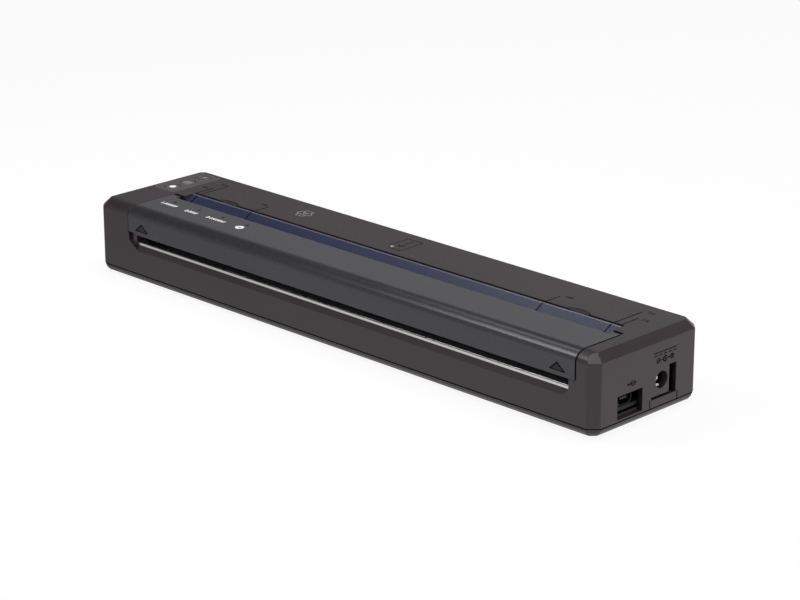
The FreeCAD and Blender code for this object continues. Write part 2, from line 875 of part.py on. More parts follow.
def tray_shell():
    levels = [(underside_inset, foot_drop), (lowest_bend_inset, lowest_bend_height),
              (lower_bend_inset, lower_bend_height), (rim_inset, seam_height)]
    wires = []
    for inset, height in levels:
        wires.append(rounded_outline(body_plan(inset, inset, inset), corner_blend, height))
    outer = Part.makeLoft(wires, True, True)
    hollow = plan_prism(wall + rim_inset, inner_floor, seam_height + overrun)
    groove = plan_prism(-overrun, seam_height - seam_groove, seam_height + overrun)
    groove = groove.cut(plan_prism(rim_inset + seam_groove_depth, seam_height - seam_groove,
                                   seam_height + overrun))
    tongue_outer = wall + fit_gap
    tongue = plan_prism(tongue_outer, inner_floor, seam_height + tongue_height)
    tongue = tongue.cut(plan_prism(tongue_outer + tongue_width, inner_floor,
                                   seam_height + tongue_height))
    return outer.cut(hollow).cut(groove).fuse(tongue)


def tray_supports():
    supports = []
    for x, y in screw_places:
        supports.append(rod_z(x, y, post_radius, inner_floor, post_height))
    for x in spread(frame_left + pad_width, frame_right - pad_width, pad_count):
        for y in (frame_front + pad_width, frame_rear - pad_width / 2):
            supports.append(block(x - pad_width / 2, x + pad_width / 2, y - pad_width / 2,
                                  y + pad_width / 2, inner_floor, post_height))
    for x_low, y in ((left_plate_outer, tongue_clear_y + pad_width),
                     (frame_right, tongue_clear_y + pad_width),
                     (left_plate_outer, motor_plate_rear - pad_width)):
        supports.append(block(x_low, x_low + plate_thickness, y - pad_width / 2, y + pad_width / 2,
                              inner_floor, post_height))
    for x, y in io_board_posts:
        supports.append(rod_z(x, y, board_post_radius, inner_floor, io_board_low))
    return supports


# Ribs round the battery pack, and the wall that carries its contacts
def battery_walls():
    front = door_front - fit_gap
    rear = door_rear + fit_gap
    right = door_right + fit_gap
    contact_wall = battery_left - contact_sheet
    return [
        block(battery_left, battery_right, front - battery_rib, front, inner_floor, battery_rib_height),
        block(battery_left, battery_right, rear, rear + battery_rib, inner_floor, battery_rib_height),
        block(right, right + battery_rib, front, rear, inner_floor, battery_rib_height),
        block(contact_wall - battery_rib, contact_wall, front, rear, inner_floor, contact_top),
    ]


# Section of the battery door, wider above than below, grown by a gap on every side
def door_outline(gap, low, high):
    step = foot_drop + door_lip_height - gap
    return [
        (door_front + door_lip - gap, low), (door_rear - door_lip + gap, low),
        (door_rear - door_lip + gap, step), (door_rear + gap, step),
        (door_rear + gap, high), (door_front - gap, high),
        (door_front - gap, step), (door_front + door_lip - gap, step),
    ]


def bottom_cover():
    tray = joined([tray_shell()] + tray_supports() + battery_walls())
    bay = prism_x(door_outline(fit_gap, foot_drop - overrun, inner_floor), door_left - fit_gap,
                  door_right + fit_gap)
    tools = [bay]
    for x, y in screw_places:
        tools.append(rod_z(x, y, screw_hole_radius, foot_drop - overrun, post_height + overrun))
        tools.append(rod_z(x, y, screw_head_radius + bore_play, foot_drop - overrun, screw_seat))
    for x, y in foot_places:
        tools.append(rod_z(x, y, foot_radius + fit_gap, foot_drop - overrun, foot_drop + foot_pocket))
    return cut_all(tray, tools)


def battery_door():
    door = prism_x(door_outline(0, foot_drop, foot_drop + door_thickness), door_left, door_right)
    grips = []
    for index in range(door_grip_count):
        x = door_right - door_margin - index * door_grip_pitch
        grips.append(block(x - door_grip_width, x, door_front + door_lip + door_margin,
                           door_rear - door_lip - door_margin, foot_drop - overrun,
                           foot_drop + door_grip_depth))
    return cut_all(door, grips)


def rubber_feet():
    pads = []
    for x, y in foot_places:
        pads.append(rod_z(x, y, foot_radius, 0, foot_drop + foot_pocket))
    return Part.makeCompound(pads)


def case_screws():
    screws = []
    for x, y in screw_places:
        head = rod_z(x, y, screw_head_radius, screw_seat - screw_head_height, screw_seat)
        shank = rod_z(x, y, screw_shank_radius, screw_seat, screw_tip)
        screws.append(head.fuse(shank).removeSplitter())
    return Part.makeCompound(screws)


# Release cover

def cover_slice(inset, low, rounded):
    body = body_block(inset, low, rounded)
    return body.common(block(cover_left, cover_right, front_face - overrun, cover_rear,
                             low, body_height + overrun))


# Rounded hinge ear at one rear corner of the cover
def cover_ear(x_low, x_high):
    ear = block(x_low, x_high, hinge_y - hinge_barrel_radius, ear_rear,
                hinge_z - hinge_barrel_radius, body_height)
    return ear.common(rod_x(hinge_centre, ear_sweep_radius, x_low, x_high))


def cover_gussets():
    face = cover_face_inner
    toe = cover_rib_y - cover_rib_width
    shoulder = cover_inner_top - cover_rib_height
    outline = [(face, cover_bottom), (face, shoulder), (toe, cover_inner_top),
               (toe, shoulder), (face + hook_depth, cover_bottom)]
    gussets = []
    for x in spread(slot_left + cover_gusset_inset, slot_right - cover_gusset_inset, cover_gusset_count):
        gussets.append(prism_x(outline, x - cover_rib_width / 2, x + cover_rib_width / 2))
    return gussets


# Snap noses at both ends of the cover's front edge
def cover_hooks():
    hooks = []
    nose = cover_face_inner + hook_depth
    outline = [(cover_face_inner, corner_low), (nose, corner_low),
               (nose, corner_low + hook_height / 2), (cover_face_inner, corner_low + hook_height)]
    for x in (left_plate_outer - hook_width, right_plate_outer):
        hooks.append(prism_x(outline, x, x + hook_width))
    return hooks


def front_cover():
    shell = cover_slice(0, cover_bottom, True).cut(cover_slice(cover_wall, cover_bottom - overrun, False))
    rib = block(slot_left, slot_right, cover_rib_y - cover_rib_width, cover_rib_y,
                cover_inner_top - cover_rib_height, cover_inner_top)
    posts = []
    for x in indicator_post_xs:
        posts.append(rod_z(x, indicator_board_y, indicator_post_radius, indicator_board_top,
                           cover_inner_top))
    ears = [cover_ear(cover_left, left_ear_inner), cover_ear(right_ear_inner, cover_right)]
    cover = joined([shell, rib] + ears + cover_gussets() + cover_hooks() + posts)
    bore = hinge_pin_radius + bore_play
    tools = [rod_x(hinge_centre, bore, cover_left, left_ear_inner),
             rod_x(hinge_centre, bore, right_ear_inner, cover_right),
             block(cover_left - overrun, pocket_right, front_face - overrun, cover_face_inner,
                   cover_bottom - overrun, corner_low)]
    for x in window_xs:
        tools.append(rod_z(x, window_y, window_radius + bore_play, cover_inner_top - overrun,
                           body_height + overrun))
    return cut_all(cover, tools)


# Strip with short teeth that keeps the paper off the cover
def cover_inner_guide():
    left = slot_left + face_gap
    right = strip_right - face_gap
    pieces = [block(left, right, inner_guide_front, inner_guide_rear, inner_guide_low, cover_inner_top)]
    outline = [(inner_guide_front, cover_inner_top), (inner_guide_front, inner_guide_low),
               (inner_guide_front - inner_guide_tab_reach, cover_inner_top)]
    for x in spread(left + inner_guide_tab_width, right - inner_guide_tab_width, inner_guide_tab_count):
        pieces.append(prism_x(outline, x - inner_guide_tab_width / 2, x + inner_guide_tab_width / 2))
    return joined(pieces)


def indicator_windows():
    windows = []
    for x in window_xs:
        low = cover_inner_top - window_flange_thickness
        stem = rod_z(x, window_y, window_radius, low, body_height - bore_play)
        flange = rod_z(x, window_y, window_flange_radius, low, cover_inner_top)
        windows.append(stem.fuse(flange).removeSplitter())
    return Part.makeCompound(windows)


def indicator_board():
    return block(window_left - indicator_board_margin, window_right + indicator_board_margin,
                 indicator_board_front, indicator_board_rear,
                 indicator_board_top - indicator_board_thickness, indicator_board_top)


def indicator_lamps():
    lamps = []
    for x in window_xs:
        lamps.append(block(x - lamp_length / 2, x + lamp_length / 2, window_y - lamp_width / 2,
                           window_y + lamp_width / 2, indicator_board_top,
                           indicator_board_top + lamp_height))
    return Part.makeCompound(lamps)


def hinge_pins():
    left = rod_x(hinge_centre, hinge_pin_radius, left_boss_low, left_ear_inner - fit_gap)
    right = rod_x(hinge_centre, hinge_pin_radius, right_ear_inner + fit_gap,
                  right_boss_low + hinge_boss_length)
    return Part.makeCompound([left, right])


# Feed side

# Height of the guide strip's sloping top face at a given depth
def strip_height(y):
    return strip_top - (strip_crest - y) * strip_slope


def paper_guide_strip():
    crest_low = strip_top - strip_edge_drop
    outline = [
        (strip_front, strip_height(strip_front)),
        (strip_crest, strip_top),
        (strip_rear, crest_low),
        (strip_rear, inner_top),
        (strip_rear + strip_flange, inner_top),
        (strip_rear + strip_flange, inner_top - strip_flange_thickness),
        (frame_rear, strip_height(frame_rear) - strip_drop),
        (strip_front, strip_height(strip_front) - strip_drop),
    ]
    strip = prism_x(outline, strip_left, strip_right)
    normal = FreeCAD.Vector(0, -math.sin(math.radians(strip_angle)), math.cos(math.radians(strip_angle)))
    tools = []
    near = strip_front - overrun
    far = strip_rear + overrun
    band = [(near, strip_height(near)), (far, strip_height(far)),
            (far, strip_height(far) + overrun), (near, strip_height(near) + overrun)]
    for x in (strip_left + a4_left_inset, strip_right - a4_right_inset,
              strip_left + a5_left_inset, strip_right - a5_right_inset):
        groove = prism_x(band, x - mark_width / 2, x + mark_width / 2)
        groove.translate(normal * -strip_mark_depth)
        tools.append(groove)
    return cut_all(strip, tools)


def tear_bar():
    front = tear_bar_front
    outline = [
        (front, slot_sill),
        (front, tear_bar_top - tear_bar_bevel),
        (front + tear_bar_bevel, tear_bar_top),
        (front + tear_bar_flange, tear_bar_top),
        (front + tear_bar_flange, tear_bar_top - tear_bar_sheet),
        (front + tear_bar_sheet, tear_bar_top - tear_bar_sheet),
        (front + tear_bar_sheet, slot_sill),
    ]
    return prism_x(outline, slot_left + fit_gap, slot_right - fit_gap)


# Moulded frame: floor, front sill, rear wall and the arm that guides the paper down
def roller_frame():
    floor = frame_floor
    inside = frame_floor + frame_wall
    wall_inner = frame_rear - frame_wall
    arm_inner = strip_front + guide_wall
    step_height = seam_height + tongue_height + fit_gap
    outline = [
        (frame_front, step_height),
        (tongue_clear_y, step_height),
        (tongue_clear_y, floor),
        (frame_rear, floor),
        (frame_rear, strip_height(frame_rear) - strip_drop),
        (strip_front, strip_height(strip_front) - strip_drop),
        (strip_front, guide_bottom()),
        (arm_inner, guide_bottom()),
        (arm_inner, strip_height(arm_inner) - strip_drop - frame_wall),
        (wall_inner, strip_height(wall_inner) - strip_drop - frame_wall),
        (wall_inner, inside),
        (frame_front + frame_wall, inside),
        (frame_front + frame_wall, frame_sill),
        (frame_front, frame_sill),
    ]
    pieces = [prism_x(outline, frame_left, frame_right)]
    gusset_top = inside + gusset_height
    gusset = [(wall_inner, inside), (wall_inner, gusset_top), (wall_inner - gusset_depth, inside)]
    for x in spread(frame_left + gusset_depth, frame_right - gusset_depth, gusset_count):
        pieces.append(prism_x(gusset, x - gusset_width / 2, x + gusset_width / 2))
    window = block(sensor_x - sensor_window / 2, sensor_x + sensor_window / 2,
                   strip_front - overrun, arm_inner + overrun,
                   guide_bottom() + guide_wall, guide_bottom() + guide_wall + sensor_window)
    return joined(pieces).cut(window)


# Lower end of the thin wall behind the roller
def guide_bottom():
    return strip_height(strip_front) - guide_length


def paper_sensor():
    face = strip_front + guide_wall
    low = guide_bottom() + guide_wall / 2
    return block(sensor_x - sensor_length / 2, sensor_x + sensor_length / 2, face, face + sensor_depth,
                 low, low + sensor_height)


# Side plates

def plate_holes(x_low, x_high):
    holes = [rod_x(platen_centre, bush_radius + bore_play, x_low, x_high)]
    holes.append(rod_x(head_pivot, head_pivot_radius + bore_play, x_low, x_high))
    return holes


def front_plate(x_low, x_high):
    outline = [
        (tongue_clear_y, frame_floor), (plate_low_rear, frame_floor), (plate_low_rear, plate_shoulder),
        (plate_rear_y, plate_shoulder), (plate_rear_y, cover_inner_top - plate_top_gap),
        (plate_neck_y, cover_inner_top - plate_top_gap), (plate_neck_y, cover_bottom - plate_neck_drop),
        (tongue_clear_y, slot_sill - plate_foot_drop),
    ]
    return prism_x(outline, x_low, x_high)


def left_side_plate():
    x_low = left_plate_outer
    x_high = frame_left
    outline = [
        (plate_low_rear, frame_floor), (motor_plate_rear, frame_floor),
        (motor_plate_rear, motor_plate_top - motor_plate_cut),
        (motor_plate_rear - motor_plate_cut, motor_plate_top),
        (plate_low_rear + motor_plate_cut, motor_plate_top), (plate_low_rear, plate_shoulder),
    ]
    plate = joined([front_plate(x_low, x_high), prism_x(outline, x_low, x_high)])
    tools = plate_holes(x_low - overrun, x_high + overrun)
    for centre in (first_centre, second_centre):
        tools.append(rod_x(centre, stud_radius + bore_play, x_low - overrun, x_high + overrun))
    tools.append(rod_x(motor_centre, motor_boss_radius + bore_play, x_low - overrun, x_high + overrun))
    for centre in motor_screw_centres:
        tools.append(rod_x(centre, motor_screw_radius + bore_play, x_low - overrun, x_high + overrun))
    return cut_all(plate, tools)


def right_side_plate():
    x_low = frame_right
    x_high = right_plate_outer
    return cut_all(front_plate(x_low, x_high), plate_holes(x_low - overrun, x_high + overrun))


def platen_bushes():
    bushes = []
    for outside, inward in ((left_plate_outer, 1), (right_plate_outer, -1)):
        edge = outside + inward * bush_length
        low = min(outside, edge)
        high = max(outside, edge)
        body = rod_x(platen_centre, bush_radius, low, high)
        inner = outside + inward * plate_thickness
        flange_end = inner + inward * bush_flange
        flange = rod_x(platen_centre, bush_flange_radius, min(inner, flange_end), max(inner, flange_end))
        bore = rod_x(platen_centre, platen_shaft_radius + bore_play, low - overrun, high + overrun)
        bushes.append(joined([body, flange]).cut(bore))
    return Part.makeCompound(bushes)


# Platen roller

def platen_shaft():
    return rod_x(platen_centre, platen_shaft_radius, gear_right - gear_width,
                 right_plate_outer + shaft_end_margin)


def platen_rubber():
    return ring_x(platen_centre, platen_radius, platen_shaft_radius + bore_play, platen_left, platen_right)


# Gears

# Spur gear outline: involute flanks with a little backlash
def gear_outline(teeth, phase):
    pitch = gear_module * teeth / 2
    slant = math.radians(pressure_angle)
    base = pitch * math.cos(slant)
    root = pitch - dedendum_share * gear_module
    tip = pitch + addendum_share * gear_module
    half_tooth = (math.pi * gear_module - backlash) / 4 / pitch + math.tan(slant) - slant
    start = max(base, root)
    radii = spread(start, tip, flank_steps)
    flank = []
    for radius in radii:
        lean = math.acos(min(base / radius, 1))
        flank.append((radius, half_tooth - math.tan(lean) + lean))
    if root < start:
        flank.insert(0, (root, flank[0][1]))
    points = []
    for index in range(teeth):
        middle = math.radians(phase) + 2 * math.pi * index / teeth
        for radius, half in flank:
            points.append((radius, middle - half))
        for radius, half in reversed(flank):
            points.append((radius, middle + half))
    return points


def gear_wheel(centre, teeth, phase, x_low, x_high):
    outline = []
    for radius, angle in gear_outline(teeth, phase):
        outline.append((centre[0] + radius * math.cos(angle), centre[1] + radius * math.sin(angle)))
    return prism_x(outline, x_low, x_high)


# Phase that lets one gear's tooth meet the gap of its neighbour
def mesh_phase(teeth, phase, direction, next_teeth):
    place = ((direction - phase) * teeth / 360) % 1
    return direction + 180 - (gap_place - place) * 360 / next_teeth


def gear_layer(index):
    x_high = gear_right - index * gear_pitch_width
    return x_high - gear_width, x_high


def platen_gear():
    x_low, x_high = gear_layer(0)
    wheel = gear_wheel(platen_centre, platen_teeth, 0, x_low, x_high)
    bore = rod_x(platen_centre, platen_shaft_radius + bore_play, x_low - overrun, x_high + overrun)
    return wheel.cut(bore)


# Two gears in one piece, turning on a stud
def compound_gear(centre, small_teeth, small_phase, large_teeth, layer):
    small_low, small_high = gear_layer(layer)
    large_low, large_high = gear_layer(layer + 1)
    small = gear_wheel(centre, small_teeth, small_phase, small_low, small_high)
    large = gear_wheel(centre, large_teeth, 0, large_low, large_high)
    hub = rod_x(centre, stud_head_radius, large_low, gear_right)
    bore = rod_x(centre, stud_radius + bore_play, large_low - overrun, gear_right + overrun)
    return joined([small, large, hub]).cut(bore)


def first_reduction_gear():
    phase = mesh_phase(platen_teeth, 0, first_gear_angle, first_small_teeth)
    return compound_gear(first_centre, first_small_teeth, phase, first_large_teeth, 0)


def second_reduction_gear():
    phase = mesh_phase(first_large_teeth, 0, second_gear_angle, second_small_teeth)
    return compound_gear(second_centre, second_small_teeth, phase, second_large_teeth, 1)


def motor_pinion():
    x_low, x_high = gear_layer(2)
    phase = mesh_phase(second_large_teeth, 0, motor_angle, pinion_teeth)
    wheel = gear_wheel(motor_centre, pinion_teeth, phase, x_low, x_high)
    shaft = rod_x(motor_centre, motor_shaft_radius, x_low - pinion_tail, frame_left + motor_shaft_depth)
    return joined([wheel, shaft])


def gear_studs():
    studs = []
    for centre, layer in ((first_centre, 1), (second_centre, 2)):
        x_low = gear_layer(layer)[0] - fit_gap
        stud = rod_x(centre, stud_radius, x_low, frame_left)
        head = rod_x(centre, stud_head_radius, x_low - stud_head_length, x_low)
        studs.append(stud.fuse(head).removeSplitter())
    return Part.makeCompound(studs)


def drive_motor():
    x_low = frame_left
    x_high = x_low + motor_length
    can = rod_x(motor_centre, motor_radius, x_low, x_high)
    boss = rod_x(motor_centre, motor_boss_radius, x_low - motor_boss_length, x_low)
    ears = []
    for centre in motor_screw_centres:
        ears.append(rod_x(centre, motor_ear_radius, x_low, x_low + motor_ear_thickness))
    motor = joined([can, boss] + ears)
    tools = [rod_x(motor_centre, motor_shaft_radius + bore_play, x_low - motor_boss_length - overrun,
                   frame_left + motor_shaft_depth + overrun)]
    for centre in motor_screw_centres:
        tools.append(rod_x(centre, motor_screw_radius + bore_play, x_low - overrun,
                           x_low + motor_ear_thickness + overrun))
    return cut_all(motor, tools)


def motor_screws():
    screws = []
    for centre in motor_screw_centres:
        head = rod_x(centre, motor_screw_head_radius, left_plate_outer - motor_screw_head_height,
                     left_plate_outer)
        shank = rod_x(centre, motor_screw_radius, left_plate_outer, frame_left + motor_ear_thickness)
        screws.append(head.fuse(shank).removeSplitter())
    return Part.makeCompound(screws)


# Print head unit

def head_heat_sink():
    sink = block(head_left, head_right, sink_front, sink_rear, sink_bottom, sink_top)
    pieces = [sink]
    for x in spread(head_left + knuckle_length / 2, head_right - knuckle_length / 2, knuckle_count):
        x_low = x - knuckle_length / 2
        x_high = x + knuckle_length / 2
        pieces.append(rod_x(head_pivot, head_knuckle_radius, x_low, x_high))
        pieces.append(block(x_low, x_high, sink_rear, head_pivot_y, sink_bottom,
                            head_pivot_z + head_pivot_radius))
    tools = [rod_x(head_pivot, head_pivot_radius + bore_play, head_left - overrun, head_right + overrun)]
    for index in range(sink_fin_count):
        y = sink_front + sink_fin_gap * (2 * index + 1)
        tools.append(block(head_left - overrun, head_right + overrun, y, y + sink_fin_gap,
                           sink_bottom - overrun, sink_bottom + sink_fin_depth))
    return cut_all(joined(pieces), tools)


def print_head_board():
    return block(head_left, head_right, head_board_front, head_board_rear, sink_top,
                 sink_top + head_board_thickness)


def head_driver_cover():
    low = sink_top + head_board_thickness
    high = low + driver_cover_height
    front = head_board_rear - driver_cover_width
    outline = [(front, low), (head_board_rear, low), (head_board_rear, high),
               (front + driver_cover_height, high)]
    return prism_x(outline, head_left + knuckle_length, head_right - knuckle_length)


def head_pivot_rod():
    return rod_x(head_pivot, head_pivot_radius, left_plate_outer, right_plate_outer)


# Pressed leaf springs under the head
def head_springs():
    floor = frame_floor + frame_wall
    tip = sink_bottom - spring_gap
    sheet = spring_sheet
    foot_front = platen_y - spring_front_reach
    foot_rear = platen_y + spring_rear_reach
    tip_front = platen_y - spring_tip_front_reach
    tip_rear = platen_y + spring_tip_rear_reach
    outline = [
        (foot_front, floor), (foot_rear, floor), (tip_rear, tip), (tip_front, tip),
        (tip_front, tip - sheet), (tip_rear - sheet, tip - sheet),
        (foot_rear - 2 * sheet, floor + sheet), (foot_front, floor + sheet),
    ]
    springs = []
    for x in spread(head_left + spring_length, head_right - spring_length, spring_count):
        springs.append(prism_x(outline, x - spring_length / 2, x + spring_length / 2))
    return Part.makeCompound(springs)


# Spring steel blades on the side plates that the cover's noses snap past
def cover_catches():
    blades = []
    y = cover_face_inner + hook_depth + catch_gap
    for x in (left_plate_outer - hook_width, right_plate_outer):
        top = cover_bottom + catch_overlap
        blades.append(block(x, x + hook_width, y, y + catch_sheet, top - catch_height, top))
    return Part.makeCompound(blades)


# Keypad

def keypad_panel():
    panel = rounded_plate(panel_left, panel_right, panel_front, panel_rear,
                          body_height - panel_thickness, body_height, panel_corner)
    holes = []
    for y in key_places:
        holes.append(rod_z(key_x, y, key_radius + key_gap, inner_top, body_height + overrun))
    return cut_all(panel, holes)


# One round key: cap, retaining flange and the stem that presses its switch
def key(y):
    cap = rod_z(key_x, y, key_radius, key_flange_top, body_height)
    rims = [edge for edge in cap.Edges if edge.BoundBox.ZMin > body_height - key_bevel]
    cap = cap.makeChamfer(key_bevel, rims)
    flange = rod_z(key_x, y, key_flange_radius, key_flange_top - key_flange_thickness, key_flange_top)
    stem = rod_z(key_x, y, key_stem_radius, switch_top + key_travel + switch_clearance, key_flange_top)
    return cap.fuse([flange, stem]).removeSplitter()


def button_board():
    return block(panel_left + button_board_margin, panel_right - button_board_margin,
                 key_places[0] - key_pitch / 2, key_places[-1] + key_pitch / 2,
                 button_board_top - button_board_thickness, button_board_top)


def button_switches():
    switches = []
    for y in key_places:
        half = switch_size / 2
        body = block(key_x - half, key_x + half, y - half, y + half, button_board_top,
                     button_board_top + switch_body_height)
        plunger = rod_z(key_x, y, switch_plunger_radius, button_board_top + switch_body_height, switch_top)
        switches.append(body.fuse(plunger).removeSplitter())
    return Part.makeCompound(switches)


# Right end

# Section of the data socket's shell, drawn in by an inset
def socket_outline(inset):
    half = socket_width / 2 - inset
    low = socket_z - socket_height / 2 + inset
    high = socket_z + socket_height / 2 - inset
    return [
        (socket_y - half, high), (socket_y - half, socket_z), (socket_y - half + socket_shoulder, low),
        (socket_y + half - socket_shoulder, low), (socket_y + half, socket_z), (socket_y + half, high),
    ]


def data_socket():
    x_high = half_length - wall - socket_setback
    x_low = x_high - socket_length
    shell = prism_x(socket_outline(0), x_low, x_high)
    mouth = prism_x(socket_outline(socket_sheet), x_high - socket_mouth_depth, x_high + overrun)
    tongue = block(x_high - socket_mouth_depth, x_high - socket_sheet, socket_y - socket_tongue_width / 2,
                   socket_y + socket_tongue_width / 2, socket_z, socket_z + socket_tongue_height)
    return joined([shell.cut(mouth), tongue])


def dc_jack():
    x_high = half_length - wall
    x_low = x_high - jack_length
    body = block(x_low, x_high, jack_y - jack_width / 2, jack_y + jack_width / 2, io_board_top,
                 io_board_top + jack_height)
    bore = rod_x(jack_centre, jack_bore_radius, x_high - jack_bore_depth, x_high + overrun)
    groove = block(x_high - jack_contact_length, x_high + overrun, jack_y - jack_contact_width / 2,
                   jack_y + jack_contact_width / 2, jack_contact_low, jack_z)
    return cut_all(body, [bore, groove])


def jack_pin():
    tip = half_length - jack_pin_setback
    pin = rod_x(jack_centre, jack_pin_radius, half_length - wall - jack_bore_depth, tip)
    rims = [edge for edge in pin.Edges if edge.BoundBox.XMin > tip - jack_pin_radius]
    return pin.makeChamfer(jack_pin_radius / 2, rims)


# Sprung contact in the lower wall of the jack
def jack_contact():
    x_high = half_length - wall - jack_contact_sheet
    x_low = half_length - wall - jack_contact_length
    half = jack_contact_width / 2 - bore_play
    return block(x_low, x_high, jack_y - half, jack_y + half, jack_contact_low,
                 jack_contact_low + jack_contact_sheet)


def jack_tab():
    outer = block(half_length - wall, half_length, tab_front, tab_rear, seam_height, flat_slot_low)
    hook = block(half_length - wall - tab_hook, half_length - wall, tab_front, tab_rear,
                 seam_height + tongue_height, io_board_low - fit_gap)
    return joined([outer, hook]).common(body_block(0, seam_height, False))


def io_board():
    wide = block(io_board_left, io_board_right, tab_front, io_board_rear, io_board_low, io_board_top)
    narrow = block(io_board_narrow_left, io_board_right, io_board_front, tab_front, io_board_low,
                   io_board_top)
    return joined([wide, narrow])


# Main board and battery

def main_board():
    return block(board_left, board_right, board_front, board_rear, board_low, board_top)


# Chips, one shielded module and the cable connector on top of the main board
def board_components():
    middle = (board_front + board_rear) / 2
    half = chip_size / 2
    pieces = []
    shield_left = board_right - 2 * board_post_inset - shield_length
    for x in spread(board_left + chip_inset, shield_left - chip_size, chip_count):
        pieces.append(block(x - half, x + half, middle - half, middle + half, board_top,
                            board_top + chip_height))
    pieces.append(block(shield_left, shield_left + shield_length, middle - shield_width / 2,
                        middle + shield_width / 2, board_top, board_top + shield_height))
    pieces.append(block(ribbon_x - connector_length / 2, ribbon_x + connector_length / 2, board_front,
                        board_front + connector_depth, board_top, board_top + connector_height))
    return Part.makeCompound(pieces)


def battery_pack():
    section = min(battery_rear - battery_front, battery_high - battery_low)
    return rounded_side_block(battery_left, battery_right, battery_front, battery_rear, battery_low,
                              battery_high, min(battery_round, section * battery_round_share))


# Long block whose section in the Y-Z plane has round corners
def rounded_side_block(x_low, x_high, y_low, y_high, z_low, z_high, radius):
    flat = rounded_plate(y_low, y_high, z_low, z_high, 0, x_high - x_low, radius)
    flat.rotate(FreeCAD.Vector(0, 0, 0), FreeCAD.Vector(1, 1, 1), axis_turn)
    flat.translate(FreeCAD.Vector(x_low, 0, 0))
    return flat


def battery_contacts():
    strips = []
    x = battery_left - contact_sheet
    for y in spread(battery_front + contact_inset, battery_rear - contact_inset, contact_count):
        strips.append(block(x, x + contact_sheet, y - contact_width / 2, y + contact_width / 2,
                            inner_floor, contact_top))
    return Part.makeCompound(strips)


# Flat cable from the main board down behind the frame
def head_ribbon_cable():
    back = frame_rear + ribbon_thickness
    top = board_low
    outline = [
        (frame_rear, frame_floor + frame_wall), (back, frame_floor + frame_wall),
        (back, top - ribbon_thickness), (board_front + connector_depth, top - ribbon_thickness),
        (board_front + connector_depth, top), (frame_rear, top),
    ]
    return prism_x(outline, ribbon_x - ribbon_width / 2, ribbon_x + ribbon_width / 2)


pieces = {
    "top_case": top_case,
    "bottom_cover": bottom_cover,
    "battery_door": battery_door,
    "rubber_feet": rubber_feet,
    "case_screws": case_screws,
    "front_cover": front_cover,
    "cover_inner_guide": cover_inner_guide,
    "indicator_windows": indicator_windows,
    "indicator_board": indicator_board,
    "indicator_lamps": indicator_lamps,
    "hinge_pins": hinge_pins,
    "cover_catches": cover_catches,
    "paper_guide_strip": paper_guide_strip,
    "tear_bar": tear_bar,
    "roller_frame": roller_frame,
    "paper_sensor": paper_sensor,
    "left_side_plate": left_side_plate,
    "right_side_plate": right_side_plate,
    "platen_bushes": platen_bushes,
    "platen_shaft": platen_shaft,
    "platen_rubber": platen_rubber,
    "platen_gear": platen_gear,
    "first_reduction_gear": first_reduction_gear,
    "second_reduction_gear": second_reduction_gear,
    "motor_pinion": motor_pinion,
    "gear_studs": gear_studs,
    "drive_motor": drive_motor,
    "motor_screws": motor_screws,
    "head_heat_sink": head_heat_sink,
    "print_head_board": print_head_board,
    "head_driver_cover": head_driver_cover,
    "head_pivot_rod": head_pivot_rod,
    "head_springs": head_springs,
    "keypad_panel": keypad_panel,
    "button_board": button_board,
    "button_switches": button_switches,
    "data_socket": data_socket,
    "dc_jack": dc_jack,
    "jack_pin": jack_pin,
    "jack_contact": jack_contact,
    "jack_tab": jack_tab,
    "io_board": io_board,
    "main_board": main_board,
    "board_components": board_components,
    "battery_pack": battery_pack,
    "battery_contacts": battery_contacts,
    "head_ribbon_cable": head_ribbon_cable,
}

for name, build in pieces.items():
    build().exportStep("parts/" + name + ".step")

for name, y in zip(("front_key", "middle_key", "rear_key"), key_places):
    key(y).exportStep("parts/" + name + ".step")
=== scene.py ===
# Portable A4 thermal printer: finishes, marks, small fittings, studio light and camera
import math
import bpy
import bmesh
from mathutils import Matrix, Vector


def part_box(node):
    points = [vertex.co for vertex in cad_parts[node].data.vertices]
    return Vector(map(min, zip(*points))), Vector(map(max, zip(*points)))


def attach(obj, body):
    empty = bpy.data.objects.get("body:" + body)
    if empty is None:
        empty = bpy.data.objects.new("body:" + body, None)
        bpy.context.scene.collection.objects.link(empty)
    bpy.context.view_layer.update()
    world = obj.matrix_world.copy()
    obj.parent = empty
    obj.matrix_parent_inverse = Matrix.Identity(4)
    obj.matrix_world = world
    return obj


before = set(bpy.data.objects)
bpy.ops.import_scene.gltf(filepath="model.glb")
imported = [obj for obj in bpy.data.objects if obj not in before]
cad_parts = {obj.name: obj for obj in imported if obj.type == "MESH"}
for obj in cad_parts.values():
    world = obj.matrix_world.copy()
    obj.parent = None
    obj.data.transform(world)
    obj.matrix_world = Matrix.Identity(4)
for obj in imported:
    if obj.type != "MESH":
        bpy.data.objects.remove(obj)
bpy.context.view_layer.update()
mm = 0.001
caseLow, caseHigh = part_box("top_case")
stripLow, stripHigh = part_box("paper_guide_strip")
deckTop = caseHigh.z
frontFace = caseLow.y
rightEnd = caseHigh.x
print("frame loaded:", len(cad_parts), "pieces")


# An sRGB hex colour as the linear values that the shaders take
def linearColour(hexText):
    parts = [int(hexText[i:i + 2], 16) / 255 for i in (1, 3, 5)]
    return [c / 12.92 if c <= 0.04045 else ((c + 0.055) / 1.055) ** 2.4 for c in parts] + [1.0]


# Adds a node; an input may be a plain value or the socket that feeds it
def addNode(tree, kind, settings=None, inputs=None):
    node = tree.nodes.new(kind)
    for key, value in (settings or {}).items():
        setattr(node, key, value)
    for key, value in (inputs or {}).items():
        if isinstance(value, bpy.types.NodeSocket):
            tree.links.new(value, node.inputs[key])
        else:
            node.inputs[key].default_value = value
    return node


